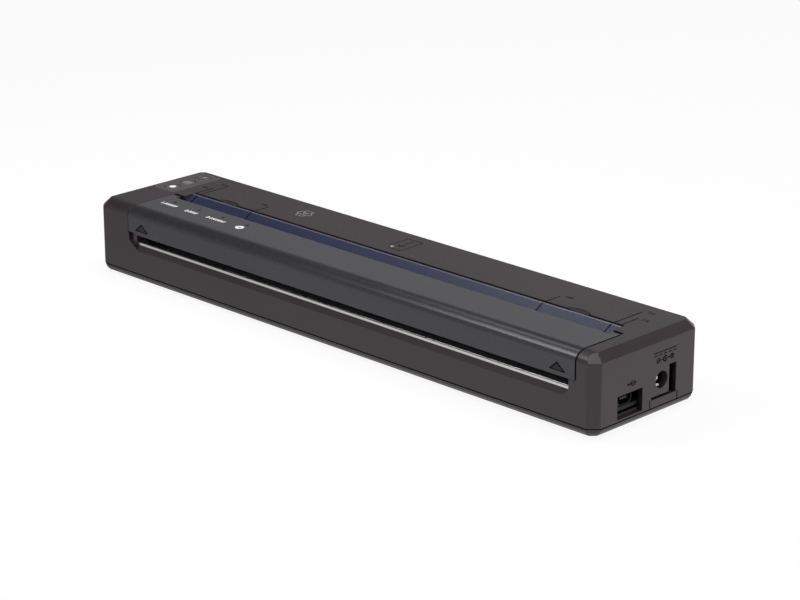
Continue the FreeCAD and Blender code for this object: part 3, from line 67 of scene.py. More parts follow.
# Noise on Object coordinates whose grain has a real size in mm along x, y and z
def grainNoise(tree, size, detail, stretch=(1, 1, 1)):
    place = addNode(tree, "ShaderNodeTexCoord").outputs["Object"]
    scale = [1 / (size * mm * s) for s in stretch]
    mapped = addNode(tree, "ShaderNodeMapping", inputs={"Vector": place, "Scale": scale})
    noise = addNode(tree, "ShaderNodeTexNoise", inputs={
        "Vector": mapped.outputs["Vector"], "Scale": 1.0, "Detail": detail})
    return noise.outputs["Fac"]


# What a finish has where its own settings leave it out; lengths in mm
plainLook = {
    "grainDetail": 3.0,
    "grainSpan": (0.3, 0.7),    # where nearly all of the noise's values lie
    "stretch": (1, 1, 1),       # of the grain along x, y and z
    "cloud": 18.0,              # size of the patches in which the two tones mix
    "cloudDetail": 2.0,
    "roughnessPlay": 0.04,
    "edge": 0.15,
    "edgeSamples": 6,
    "depth": 0.02,
    "metallic": 0.0,
    "ior": 1.5,
    "coat": 0.0,
    "coatRoughness": 0.1,
}


# Builds a finish: two tones of one colour, a grain, and edges rounded by a real radius
def makeFinish(name, settings):
    look = {**plainLook, **settings}
    material = bpy.data.materials.new(name)
    material.use_nodes = True
    tree = material.node_tree
    tree.nodes.clear()
    grain = grainNoise(tree, look["grain"], look["grainDetail"], look["stretch"])
    cloud = grainNoise(tree, look["cloud"], look["cloudDetail"])
    tones = addNode(tree, "ShaderNodeMix", {"data_type": "RGBA"}, {    # 6 and 7 are its colours
        "Factor": cloud, 6: linearColour(look["dark"]), 7: linearColour(look["light"])})
    gloss = addNode(tree, "ShaderNodeMapRange", inputs={
        "Value": grain, "From Min": look["grainSpan"][0], "From Max": look["grainSpan"][1],
        "To Min": look["roughness"] - look["roughnessPlay"],
        "To Max": look["roughness"] + look["roughnessPlay"]})
    edges = addNode(tree, "ShaderNodeBevel", {"samples": look["edgeSamples"]}, {
        "Radius": look["edge"] * mm})
    relief = addNode(tree, "ShaderNodeBump", inputs={
        "Strength": look["relief"], "Distance": look["depth"] * mm,
        "Height": grain, "Normal": edges.outputs["Normal"]})
    shader = addNode(tree, "ShaderNodeBsdfPrincipled", inputs={
        "Base Color": tones.outputs[2], "Roughness": gloss.outputs["Result"],
        "Normal": relief.outputs["Normal"], "Metallic": look["metallic"],
        "Coat Weight": look["coat"], "Coat Roughness": look["coatRoughness"]})
    if not look["metallic"]:
        shader.inputs["IOR"].default_value = look["ior"]
    addNode(tree, "ShaderNodeOutputMaterial", inputs={"Surface": shader.outputs["BSDF"]})
    return material


# Grain, depth and edge are in mm. The moulded textures are about 0.1 mm fine in life, and are drawn
# coarser so that they show.
finishes = {
    # ABS from a finely spark-eroded tool: a dull charcoal with a faint warm cast and a soft sheen
    "caseAbs": {"dark": "#22191d", "light": "#281f24", "roughness": 0.42, "grain": 0.55,
                "relief": 0.35, "depth": 0.03, "edge": 0.22, "ior": 1.49},
    # The same ABS from a smoother tool: a cooler, slightly lighter charcoal for the release cover
    "coverAbs": {"dark": "#252428", "light": "#2b2a2f", "roughness": 0.29, "roughnessPlay": 0.02,
                 "grain": 0.55, "relief": 0.12, "depth": 0.02, "edge": 0.22, "ior": 1.49},
    # Satin painted ABS: the smooth dark grey of the key panel
    "panelAbs": {"dark": "#3c393a", "light": "#423f40", "roughness": 0.42, "grain": 0.8,
                 "relief": 0.12, "depth": 0.02, "edge": 0.2},
    # Satin painted ABS of the keys, a shade lighter so that they part from the panel
    "keyAbs": {"dark": "#444142", "light": "#4a4748", "roughness": 0.4, "grain": 0.8,
               "relief": 0.1, "depth": 0.02, "edge": 0.25},
    # Smooth acetal of the paper ramp: a deep blue grey
    "rampAcetal": {"dark": "#1f253c", "light": "#242a45", "roughness": 0.36, "grain": 1.2,
                   "relief": 0.08, "depth": 0.02, "edge": 0.3},
    # Glass filled nylon frame: near black, dull and a little fibrous along its length
    "frameNylon": {"dark": "#131315", "light": "#1a1a1c", "roughness": 0.6, "grain": 0.5,
                   "relief": 0.4, "depth": 0.03, "stretch": (3, 1, 1)},
    # Bright rolled stainless steel: a clean pale line with fine streaks along its length
    "tearSteel": {"dark": "#bcbbba", "light": "#cac9c7", "roughness": 0.32, "grain": 0.12,
                  "relief": 0.1, "depth": 0.004, "stretch": (40, 1, 1), "metallic": 1.0,
                  "edge": 0.08},
    # Zinc plated steel sheet: cool grey with a faint cloudiness
    "zincSheet": {"dark": "#9c9da0", "light": "#aeb0b2", "roughness": 0.38, "grain": 0.5,
                  "relief": 0.12, "depth": 0.006, "metallic": 1.0, "cloud": 5.0, "edge": 0.06},
    # Turned steel pins and screws: bright and finely grained
    "turnedSteel": {"dark": "#a9a8a6", "light": "#bab9b7", "roughness": 0.28, "grain": 0.1,
                    "relief": 0.12, "depth": 0.004, "metallic": 1.0, "edge": 0.06},
    # Ground silicone rubber roller: even dull black with a fine tooth
    "rollerSilicone": {"dark": "#171718", "light": "#1d1d1e", "roughness": 0.7, "grain": 0.3,
                       "relief": 0.5, "depth": 0.03, "edge": 0.1},
    # Soft moulded rubber feet: dull black
    "footRubber": {"dark": "#151515", "light": "#1b1b1b", "roughness": 0.75, "grain": 0.5,
                   "relief": 0.4, "depth": 0.04, "edge": 0.3},
    # Natural acetal gears: milky white with a waxy sheen
    "gearAcetal": {"dark": "#d9d6cb", "light": "#e4e1d7", "roughness": 0.4, "grain": 0.6,
                   "relief": 0.08, "depth": 0.01, "edge": 0.05},
    # Graphite filled bearing plastic: dark grey, slightly shiny
    "bushPlastic": {"dark": "#232324", "light": "#2b2b2c", "roughness": 0.45, "grain": 0.5,
                    "relief": 0.2, "depth": 0.02, "edge": 0.08},
    # Zinc plated motor can
    "motorZinc": {"dark": "#8f9092", "light": "#a2a3a5", "roughness": 0.36, "grain": 0.4,
                  "relief": 0.12, "depth": 0.006, "metallic": 1.0, "cloud": 6.0, "edge": 0.2},
    # Extruded aluminium heat sink, black anodised: die lines along its length
    "sinkAluminium": {"dark": "#2a2a2c", "light": "#343436", "roughness": 0.4, "grain": 0.16,
                      "relief": 0.25, "depth": 0.01, "stretch": (50, 1, 1), "metallic": 1.0,
                      "edge": 0.1},
    # Ceramic plate of the print head under its brown black overglaze: dark and glassy
    "headCeramic": {"dark": "#221c19", "light": "#2b2420", "roughness": 0.2, "grain": 0.8,
                    "relief": 0.05, "depth": 0.01, "coat": 0.4, "edge": 0.05},
    # Black epoxy over the drivers: thick and glossy
    "driverEpoxy": {"dark": "#0e0e0f", "light": "#141415", "roughness": 0.25, "grain": 1.5,
                    "relief": 0.2, "depth": 0.03, "edge": 0.3},
    # Black green solder mask over glass laminate
    "boardLaminate": {"dark": "#070f0a", "light": "#0b170f", "ior": 1.35, "roughness": 0.5,
                      "grain": 0.4, "relief": 0.2, "depth": 0.01, "cloud": 4.0, "edge": 0.05},
    # Moulded epoxy of chips and switches
    "chipEpoxy": {"dark": "#161617", "light": "#1d1d1e", "roughness": 0.55, "grain": 0.3,
                  "relief": 0.3, "depth": 0.01, "edge": 0.1},
    # Smoked acrylic light pipes, matt on top: dark dots until the lamp behind is lit
    "lampWindow": {"dark": "#070708", "light": "#0a0a0b", "ior": 1.3, "roughness": 0.6,
                   "grain": 2.0, "relief": 0.02, "depth": 0.01, "edge": 0.12},
    # Clear epoxy of the lamps
    "lampEpoxy": {"dark": "#d9d7c8", "light": "#e6e4d6", "roughness": 0.2, "grain": 1.0,
                  "relief": 0.05, "depth": 0.01, "edge": 0.1},
    # Tin plated socket shell, its grey darkened to paint the shade in its deep port; it shines only
    # at its edges
    "shadedSocketTin": {"dark": "#31302e", "light": "#3c3a37", "roughness": 0.4, "grain": 0.3,
                  "relief": 0.08, "depth": 0.005, "metallic": 1.0, "edge": 0.05},
    # Moulded nylon of the power jack
    "jackNylon": {"dark": "#121213", "light": "#181819", "roughness": 0.5, "grain": 0.5,
                  "relief": 0.2, "depth": 0.02, "edge": 0.08},
    # Bright nickel of the jack's pin
    "pinNickel": {"dark": "#dcdcda", "light": "#ecebe9", "roughness": 0.36, "grain": 0.3,
                  "relief": 0.03, "depth": 0.003, "metallic": 1.0, "edge": 0.1},
    # Bright spring bronze, tinned, of the contacts
    "contactBronze": {"dark": "#cfc7b2", "light": "#ded7c3", "roughness": 0.24, "grain": 0.2,
                      "relief": 0.05, "depth": 0.004, "metallic": 1.0, "edge": 0.05},
    # Black shell of the battery pack
    "packShell": {"dark": "#1b1b1d", "light": "#212123", "roughness": 0.5, "grain": 0.6,
                  "relief": 0.2, "depth": 0.02, "edge": 0.3},
    # Flat cable: pale film over copper
    "cableFilm": {"dark": "#b9a77c", "light": "#c7b68c", "roughness": 0.35, "grain": 0.5,
                  "relief": 0.1, "depth": 0.01, "edge": 0.05},
    # Pad print in white: a thin satin ink
    "whiteInk": {"dark": "#e4e2e1", "light": "#efedec", "roughness": 0.5, "grain": 0.5,
                 "relief": 0.05, "depth": 0.01, "edge": 0.02},
    # Pad print in pale grey, duller than the white
    "greyInk": {"dark": "#8e8b8c", "light": "#989596", "roughness": 0.55, "grain": 0.5,
                "relief": 0.05, "depth": 0.01, "edge": 0.02},
    # The shadow in a fine engraved line
    "engravedShadow": {"dark": "#080708", "light": "#0b0a0b", "ior": 1.1, "roughness": 0.85,
                       "grain": 0.5, "relief": 0.1, "depth": 0.01, "edge": 0.02},
    # Painted highlight along the ramp's crest: a pale line along the blue grey
    "crestHighlightPaint": {"dark": "#525164", "light": "#5c5b6f", "roughness": 0.3, "grain": 0.8,
                    "relief": 0.05, "depth": 0.01, "edge": 0.1},
    # Moulded relief in the case's own plastic, coloured darker as painted shade of its steep sides
    "shadedReliefAbs": {"dark": "#100e0f", "light": "#141213", "ior": 1.2, "roughness": 0.6,
                  "grain": 0.5, "relief": 0.1, "depth": 0.01, "edge": 0.05},
}

nodeFinishes = {
    "caseAbs": ["top_case", "bottom_cover", "battery_door", "jack_tab"],
    "coverAbs": ["front_cover"],
    "panelAbs": ["keypad_panel"],
    "keyAbs": ["front_key", "middle_key", "rear_key"],
    "rampAcetal": ["paper_guide_strip"],
    "frameNylon": ["roller_frame", "cover_inner_guide"],
    "tearSteel": ["tear_bar"],
    "zincSheet": ["left_side_plate", "right_side_plate", "cover_catches", "head_springs"],
    "turnedSteel": ["platen_shaft", "head_pivot_rod", "hinge_pins", "gear_studs", "case_screws",
                    "motor_screws"],
    "rollerSilicone": ["platen_rubber"],
    "footRubber": ["rubber_feet"],
    "gearAcetal": ["platen_gear", "first_reduction_gear", "second_reduction_gear",
                   "motor_pinion"],
    "bushPlastic": ["platen_bushes"],
    "motorZinc": ["drive_motor"],
    "sinkAluminium": ["head_heat_sink"],
    "headCeramic": ["print_head_board"],
    "driverEpoxy": ["head_driver_cover"],
    "boardLaminate": ["main_board", "button_board", "indicator_board", "io_board"],
    "chipEpoxy": ["board_components", "paper_sensor", "button_switches"],
    "lampWindow": ["indicator_windows"],
    "lampEpoxy": ["indicator_lamps"],
    "shadedSocketTin": ["data_socket"],
    "jackNylon": ["dc_jack"],
    "pinNickel": ["jack_pin"],
    "contactBronze": ["jack_contact", "battery_contacts"],
    "packShell": ["battery_pack"],
    "cableFilm": ["head_ribbon_cable"],
}

materials = {name: makeFinish(name, look) for name, look in finishes.items()}
for finish, nodeNames in nodeFinishes.items():
    for nodeName in nodeNames:
        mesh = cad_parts[nodeName].data
        mesh.materials.clear()
        mesh.materials.append(materials[finish])
print("finishes made:", len(materials))


# Turns a mesh under construction into a finished piece that rides on a body
def finishPiece(shape, name, finish, body):
    bmesh.ops.recalc_face_normals(shape, faces=shape.faces)
    mesh = bpy.data.meshes.new(name)
    shape.to_mesh(mesh)
    shape.free()
    mesh.materials.append(materials[finish])
    piece = bpy.data.objects.new(name, mesh)
    bpy.context.scene.collection.objects.link(piece)
    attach(piece, body)


# A plane for marks, from an origin, the direction of reading and the direction of a letter's height
def plane(origin, along, upwards):
    across = Vector(along).cross(Vector(upwards))
    turn = Matrix((Vector(along), Vector(upwards), across)).transposed().to_4x4()
    return Matrix.Translation(Vector(origin)) @ turn


# How far an ordinary mark stands out of its surface and how far it reaches into it, in mm
markHeight = 0.04
markDepth = 0.06


# A straight stroke between two points of a plane, in mm, as a thin bar
def addStroke(shape, base, start, end, width, height=markHeight, depth=markDepth):
    a, b = Vector(start), Vector(end)
    run = b - a
    middle = Vector(((a.x + b.x) / 2, (a.y + b.y) / 2, (height - depth) / 2))
    place = Matrix.Translation(middle * mm)
    turn = Matrix.Rotation(math.atan2(run.y, run.x), 4, "Z")
    size = Matrix.Diagonal(((run.length + width) * mm, width * mm, (height + depth) * mm, 1))
    bmesh.ops.create_cube(shape, size=1.0, matrix=base @ place @ turn @ size)


# A run of strokes through several points
def addPath(shape, base, points, width, closed=False, height=markHeight, depth=markDepth):
    points = list(points)
    ends = points[1:] + [points[0]] if closed else points[1:]
    for start, end in zip(points, ends):
        addStroke(shape, base, start, end, width, height, depth)


# A flat disc on a plane
def addDisc(shape, base, centre, radius, height=markHeight, depth=markDepth, segments=24):
    place = Matrix.Translation(Vector((centre[0], centre[1], (height - depth) / 2)) * mm)
    bmesh.ops.create_cone(shape, cap_ends=True, segments=segments, radius1=radius * mm,
                          radius2=radius * mm, depth=(height + depth) * mm, matrix=base @ place)


# Points along an arc between two angles in degrees
def arcPoints(centre, radius, first, last, steps):
    angles = [math.radians(first + (last - first) * step / steps) for step in range(steps + 1)]
    return [(centre[0] + radius * math.cos(angle), centre[1] + radius * math.sin(angle))
            for angle in angles]


# An arc of short strokes
def addArc(shape, base, centre, radius, width, first, last, steps, height=markHeight,
           depth=markDepth):
    points = arcPoints(centre, radius, first, last, steps)
    addPath(shape, base, points, width, height=height, depth=depth)


# A sign about its centre: paths and arcs, all drawn with one width of line, and filled discs
def addSign(shape, base, sign):
    x, y = sign.get("centre", (0, 0))
    for points in sign.get("paths", ()):
        addPath(shape, base, [(x + across, y + up) for across, up in points], sign["line"])
    for (across, up), radius, first, last, steps in sign.get("arcs", ()):
        addArc(shape, base, (x + across, y + up), radius, sign["line"], first, last, steps)
    for (across, up), radius in sign.get("discs", ()):
        addDisc(shape, base, (x + across, y + up), radius)


# Points of a figure's outline that lie nearer than this, in mm, are one
weldReach = 0.002


# A plain number as thin raised figures
def addNumber(shape, base, text, place, size, height, depth, swell):
    curve = bpy.data.curves.new("figures", "FONT")
    curve.body = text
    curve.size = size * mm
    curve.extrude = (height + depth) / 2 * mm
    curve.offset = swell * mm
    holder = bpy.data.objects.new("figures", curve)
    bpy.context.scene.collection.objects.link(holder)
    bpy.context.view_layer.update()
    shown = holder.evaluated_get(bpy.context.evaluated_depsgraph_get())
    mesh = bpy.data.meshes.new_from_object(shown)
    shift = Matrix.Translation(Vector((place[0], place[1], (height - depth) / 2)) * mm)
    mesh.transform(base @ shift)
    figures = bmesh.new()
    figures.from_mesh(mesh)
    bmesh.ops.remove_doubles(figures, verts=figures.verts, dist=weldReach * mm)
    figures.to_mesh(mesh)
    figures.free()
    shape.from_mesh(mesh)
    bpy.data.objects.remove(holder)
    bpy.data.curves.remove(curve)
    bpy.data.meshes.remove(mesh)


# The ramp's crest lies this far behind the body's middle, in mm, and the ramp falls to the front
rampCrestPlace = 1.6
rampSlope = math.radians(27.0)
rampRise = (0, math.cos(rampSlope), math.sin(rampSlope))

# The surfaces that most marks lie on
deckPlane = plane((0, 0, deckTop), (1, 0, 0), (0, 1, 0))
crestPlane = plane((0, rampCrestPlace * mm, stripHigh.z), (1, 0, 0), (0, 1, 0))
rampPlane = plane((0, rampCrestPlace * mm, stripHigh.z), (1, 0, 0), rampRise)
facePlane = plane((0, frontFace, 0), (1, 0, 0), (0, 0, 1))
endPlane = plane((rightEnd, 0, 0), (0, 1, 0), (0, 0, 1))


# Hatched triangles over both ends of the exit slot, which show where the paper's edges come out
feedArrows = {
    "line": 0.42,
    "hatchShare": 0.7,       # of the outline's width
    "hatches": 4,
    "corners": (((-104.8, 21.5), (-98.0, 21.5), (-101.4, 24.35)),
                ((107.8, 21.5), (114.2, 21.5), (110.8, 24.2))),
}


def buildFeedArrows():
    look = feedArrows
    shape = bmesh.new()
    for corners in look["corners"]:
        left, right, top = [Vector(corner) for corner in corners]
        addPath(shape, facePlane, [left, right, top], look["line"], closed=True)
        for row in range(1, look["hatches"]):
            share = row / look["hatches"]
            addStroke(shape, facePlane, left.lerp(top, share), right.lerp(top, share),
                      look["line"] * look["hatchShare"])
    finishPiece(shape, "feed_arrows", "engravedShadow", "release_cover")


# White legends beside the four indicator windows: a number with a row of slanting ticks, and a dot
indicatorLegends = {
    # each number, where it starts and its ticks end along x, and its baseline along y
    "legends": (("1", -104.6, -95.6, -15.1), ("2", -89.9, -82.9, -15.6),
                ("3", -77.9, -67.9, -15.4)),
    "size": 2.4,
    "figureWidth": 2.1,
    "figureHeight": 0.05,
    "figureSwell": 0.09,
    "tickHeight": 1.6,
    "tickSlant": 0.4,
    "tickPitch": 1.2,
    "tickWidth": 0.62,
    "dot": (-59.2, -14.8),
    "dotRadius": 1.75,
    "eyeRadius": 0.55,
    "eyeHeight": 0.05,
    "eyeSegments": 16,
}


def buildIndicatorLegends():
    look = indicatorLegends
    half = look["tickWidth"] / 2
    shape = bmesh.new()
    for text, left, right, y in look["legends"]:
        addNumber(shape, deckPlane, text, (left, y), look["size"], look["figureHeight"], markDepth,
                  look["figureSwell"])
        x = left + look["figureWidth"]
        while x < right - look["tickSlant"]:
            addStroke(shape, deckPlane, (x, y + half),
                      (x + look["tickSlant"], y + look["tickHeight"] - half), look["tickWidth"])
            x += look["tickPitch"]
    addDisc(shape, deckPlane, look["dot"], look["dotRadius"])
    finishPiece(shape, "indicator_legends", "whiteInk", "release_cover")
    eye = bmesh.new()
    addDisc(eye, deckPlane, look["dot"], look["eyeRadius"], look["eyeHeight"], depth=0.0,
            segments=look["eyeSegments"])
    finishPiece(eye, "indicator_dot_eye", "engravedShadow", "release_cover")


# Symbols on the three keys: a filled disc, a bar in a frame, and an open ring with a stem
keySymbols = {
    "front": {"ink": "whiteInk", "signs": (
        {"discs": (((0, 0), 1.4),)},)},
    "middle": {"ink": "greyInk", "signs": (
        {"line": 0.42, "paths": (((-1.65, -1.155), (1.65, -1.155), (1.65, 1.155), (-1.65, 1.155),
                                  (-1.65, -1.155)),)},
        {"line": 0.5, "paths": (((-0.7425, 0), (0.7425, 0)),)})},
    "rear": {"ink": "greyInk", "signs": (
        {"line": 0.45, "arcs": (((0, 0), 1.6, 120, 420, 18),), "paths": (((0, 0.4), (0, 1.9)),)},)},
}


def buildKeySymbols():
    for name, look in keySymbols.items():
        low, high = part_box(name + "_key")
        middle = (low + high) / 2
        base = plane((middle.x, middle.y, high.z), (1, 0, 0), (0, 1, 0))
        shape = bmesh.new()
        for sign in look["signs"]:
            addSign(shape, base, sign)
        finishPiece(shape, name + "_key_symbol", look["ink"], name + "_button")


# The engraved lines for the sheet widths, on the deck behind the groove and on the ramp before it
widthLines = {
    "width": 0.5,
    "deckStart": 3.3,
    "deck": ((-104.2, 11.95), (112.6, 11.95), (-101.6, 17.75), (109.5, 17.75),
             (-70.4, 10.35), (78.6, 10.35)),
    "deckHeight": 0.012,
    "deckDepth": 0.03,
    "ramp": (-101.6, 109.5, -70.4, 78.6),
    "rampReach": 9.0,
    "rampHeight": 0.02,
    "rampDepth": 0.05,
}


def buildWidthLines():
    look = widthLines
    half = look["width"] / 2
    deck = bmesh.new()
    for x, end in look["deck"]:
        addStroke(deck, deckPlane, (x, look["deckStart"] + half), (x, end - half), look["width"],
                  look["deckHeight"], look["deckDepth"])
    finishPiece(deck, "width_lines", "engravedShadow", "base")
    ramp = bmesh.new()
    for x in look["ramp"]:
        addStroke(ramp, rampPlane, (x, -look["rampReach"]), (x, -half), look["width"],
                  look["rampHeight"], look["rampDepth"])
    finishPiece(ramp, "ramp_lines", "engravedShadow", "base")


# Painted highlight along the ramp's crest, from the left end of the strip to its right end
rampCrest = {
    "ends": 0.3,
    "topAt": 0.1,
    "topWidth": 0.42,
    "topHeight": 0.02,
    "frontAt": -0.2,
    "frontWidth": 0.34,
    "frontHeight": 0.015,
    "depth": 0.1,
}


def buildRampCrest():
    look = rampCrest
    shape = bmesh.new()
    left = stripLow.x / mm + look["ends"]
    right = stripHigh.x / mm - look["ends"]
    for base, side in ((crestPlane, "top"), (rampPlane, "front")):
        place = look[side + "At"]
        addStroke(shape, base, (left, place), (right, place), look[side + "Width"],
                  look[side + "Height"], look["depth"])
    # pale strips that paint the crest's highlight
    finishPiece(shape, "ramp_crest_highlight", "crestHighlightPaint", "base")


# The upper edge of the tear bar's face lies in the cover's shade
tearShade = {"inset": 0.4, "width": 0.3, "height": 0.02, "depth": 0.05}


def buildTearShade():
    look = tearShade
    low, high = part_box("tear_bar")
    base = plane((0, low.y, high.z - look["width"] / 2 * mm), (1, 0, 0), (0, 0, 1))
    shape = bmesh.new()
    addStroke(shape, base, (low.x / mm + look["inset"], 0), (high.x / mm - look["inset"], 0),
              look["width"], look["height"], look["depth"])
    finishPiece(shape, "tear_bar_shade", "engravedShadow", "base")


# Shade along the rear edges of the two thumb scoops
scoopShade = {
    "centres": ((-85.4, -4.2), (93.2, -4.2)),
    "radius": 9.45,
    "first": 56.0,
    "last": 124.0,
    "steps": 14,
    "width": 0.32,
    "height": 0.012,
    "depth": 0.03,
}


def buildScoopShade():
    look = scoopShade
    shape = bmesh.new()
    for centre in look["centres"]:
        addArc(shape, deckPlane, centre, look["radius"], look["width"], look["first"], look["last"],
               look["steps"], look["height"], look["depth"])
    finishPiece(shape, "scoop_shade", "engravedShadow", "base")


# Deep shadow in the seam round the body
seamShadow = {"height": 3.87, "thick": 0.56, "inset": 0.4, "width": 0.5, "cornerCut": 3.3}


def buildSeamShadow():
    look = seamShadow
    x = rightEnd / mm - look["inset"]
    y = -frontFace / mm - look["inset"]
    cut = look["cornerCut"]
    plan = [(-x, -y + cut), (-x + cut, -y), (x - cut, -y), (x, -y + cut),
            (x, y - cut), (x - cut, y), (-x + cut, y), (-x, y - cut)]
    base = plane((0, 0, look["height"] * mm), (1, 0, 0), (0, 1, 0))
    half = look["thick"] / 2
    shape = bmesh.new()
    addPath(shape, base, plan, look["width"], closed=True, height=half, depth=half)
    finishPiece(shape, "seam_shadow", "engravedShadow", "base")


# Deep shadow in the gap at the cover's right end: up the face, over the edge, back on the deck
coverGapShadow = {
    "place": 119.02,         # on the case's side of the gap
    "thick": 0.5,
    "width": 0.05,
    "faceStart": 19.9,
    # centre in y and z, radius, first and last angle, steps
    "arcs": (((-24.79, 26.3), 2.71, 180, 135, 5), ((-22.4, 23.91), 6.09, 135, 90, 5)),
    "deckEnd": -4.9,
}


def buildCoverGapShadow():
    look = coverGapShadow
    profile = [(frontFace / mm, look["faceStart"])]
    for arc in look["arcs"]:
        profile += arcPoints(*arc)
    profile.append((look["deckEnd"], deckTop / mm))
    base = plane((look["place"] * mm, 0, 0), (0, 1, 0), (0, 0, 1))
    half = look["thick"] / 2
    shape = bmesh.new()
    addPath(shape, base, profile, look["width"], height=half, depth=half)
    finishPiece(shape, "cover_gap_shadow", "engravedShadow", "base")


# Deep shadow at both sides of the tab under the power jack
tabGapShadow = {"sides": (1.05, 15.45), "low": 4.3, "high": 6.9, "width": 0.45, "height": 0.015,
                "depth": 0.1}


def buildTabGapShadow():
    look = tabGapShadow
    shape = bmesh.new()
    for side in look["sides"]:
        addStroke(shape, endPlane, (side, look["low"]), (side, look["high"]), look["width"],
                  look["height"], look["depth"])
    finishPiece(shape, "tab_gap_shadow", "engravedShadow", "base")


# Fine dark figures of the sheet widths in millimetres at the ends of the engraved lines
widthNumbers = {
    "size": 2.1,
    "height": 0.01,
    "depth": 0.03,
    "swell": 0.04,
    "places": (("216", -108.9, 9.9), ("210", -106.0, 17.2), ("148", -75.4, 10.4),
               ("148", 80.2, 11.0), ("210", 111.0, 18.2), ("216", 114.2, 11.2)),
}


def buildWidthNumbers():
    look = widthNumbers
    shape = bmesh.new()
    for text, x, y in look["places"]:
        addNumber(shape, deckPlane, text, (x, y), look["size"], look["height"], look["depth"],
                  look["swell"])
    finishPiece(shape, "width_numbers", "engravedShadow", "base")


# Pictogram of a printer with a sheet going through it, in pale ink on the deck
sheetPictogram = {"centre": (-54.3, 14.2), "line": 0.3, "paths": (
    ((-3.2, -1.4), (3.2, -1.4), (3.2, 1.0), (-3.2, 1.0), (-3.2, -1.4)),
    ((-1.9, 1.0), (-1.9, 3.2), (1.9, 3.2), (1.9, 1.0)),
    ((-1.9, -1.4), (-1.9, -3.2), (1.9, -3.2), (1.9, -1.4)),
    ((-0.8, 0.3), (0, -0.7), (0.8, 0.3)),
)}


def buildSheetPictogram():
    shape = bmesh.new()
    addSign(shape, deckPlane, sheetPictogram)
    finishPiece(shape, "sheet_pictogram", "greyInk", "base")


# Moulded pictogram of a sheet going in, with a pale hatched corner
insertPictogram = {
    "line": 0.34,
    "height": 0.02,
    "sheet": ((-4.2, 10.0), (-4.2, 19.6), (3.4, 19.6), (3.4, 7.4), (-1.6, 7.4)),
    "shaft": ((-0.4, 18.0), (-0.4, 10.8)),
    "head": ((-1.8, 12.3), (-0.4, 10.7), (1.0, 12.3)),
    "corner": (-1.9, 9.7),
    "rows": 5,
    "rowPitch": 0.42,
    "rowLength": 2.1,
    "rowShortens": 0.52,
}


def buildInsertPictogram():
    look = insertPictogram
    shape = bmesh.new()
    addPath(shape, deckPlane, look["sheet"], look["line"], closed=True, height=look["height"])
    addStroke(shape, deckPlane, *look["shaft"], look["line"], look["height"])
    addPath(shape, deckPlane, look["head"], look["line"], height=look["height"])
    finishPiece(shape, "insert_pictogram", "engravedShadow", "base")
    corner = bmesh.new()
    x, top = look["corner"]
    for row in range(look["rows"]):
        y = top - row * look["rowPitch"]
        length = look["rowLength"] - row * look["rowShortens"]
        addStroke(corner, deckPlane, (x - length, y), (x, y), look["rowPitch"], look["height"])
    finishPiece(corner, "insert_corner", "greyInk", "base")


# Relief on the right end: a forked arrow over the data port, and over the power jack its polarity
# and, for direct current, a line over dashes
endSigns = {
    "port": {"centre": (-8.5, 16.0), "line": 0.42, "discs": (((-2.0, 0), 0.5),), "paths": (
        ((-2.0, 0), (2.0, 0)),
        ((1.1, 0.7), (2.0, 0), (1.1, -0.7)),
        ((-1.0, 0), (-0.3, 0.75), (0.5, 0.75)),
        ((-0.6, 0), (0.1, -0.75), (0.7, -0.75)))},
    "polarity": {"centre": (8.6, 20.4), "line": 0.42, "arcs": (((0, 0), 0.95, 40, 320, 12),),
                 "discs": (((0, 0), 0.4),), "paths": (((-2.8, 0), (-1.0, 0)), ((0, 0), (2.8, 0)))},
    "minus": {"centre": (5.0, 20.4), "line": 0.336, "arcs": (((0, 0), 0.8, 0, 360, 12),),
              "paths": (((-0.4, 0), (0.4, 0)),)},
    "plus": {"centre": (12.2, 20.4), "line": 0.336, "arcs": (((0, 0), 0.8, 0, 360, 12),),
             "paths": (((-0.4, 0), (0.4, 0)), ((0, -0.4), (0, 0.4)))},
    "current": {"centre": (8.6, 22.8), "line": 0.42, "paths": (
        ((-5.6, 0.5), (5.6, 0.5)),
        *(((x - 0.6, -0.5), (x + 0.6, -0.5)) for x in (-5, -2.5, 0, 2.5, 5)))},
}


def buildEndRelief():
    shape = bmesh.new()
    for sign in endSigns.values():
        addSign(shape, endPlane, sign)
    finishPiece(shape, "end_relief", "shadedReliefAbs", "base")


# Contact strips on the tongue of the data socket
socketContacts = {"count": 5, "pitch": 0.7, "width": 0.34, "length": 3.6, "setback": 1.0,
                  "height": 0.05}


def buildSocketContacts():
    look = socketContacts
    low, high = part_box("data_socket")
    middle = (low + high) / 2
    base = plane((high.x - look["setback"] * mm, middle.y, middle.z), (0, 1, 0), (-1, 0, 0))
    shape = bmesh.new()
    for index in range(look["count"]):
        y = (index - (look["count"] - 1) / 2) * look["pitch"]
        addStroke(shape, base, (y, 0), (y, look["length"]), look["width"], look["height"], depth=0.0)
    finishPiece(shape, "socket_contacts", "contactBronze", "base")


# The polished round tip of the jack's pin, and the bent lip of its sprung contact
jackShine = {
    "tipRadius": 1.0,
    "tipHeight": 0.4,
    "tipSegments": (24, 12),
    "lipSheet": 0.3,
    "lipWide": 2.2,
    "lipTall": 0.9,
    "lipLean": 25.0,
    "lipOverlap": 0.1,       # with the contact below it
    "lipRound": 0.08,
    "lipRoundSegments": 2,
}


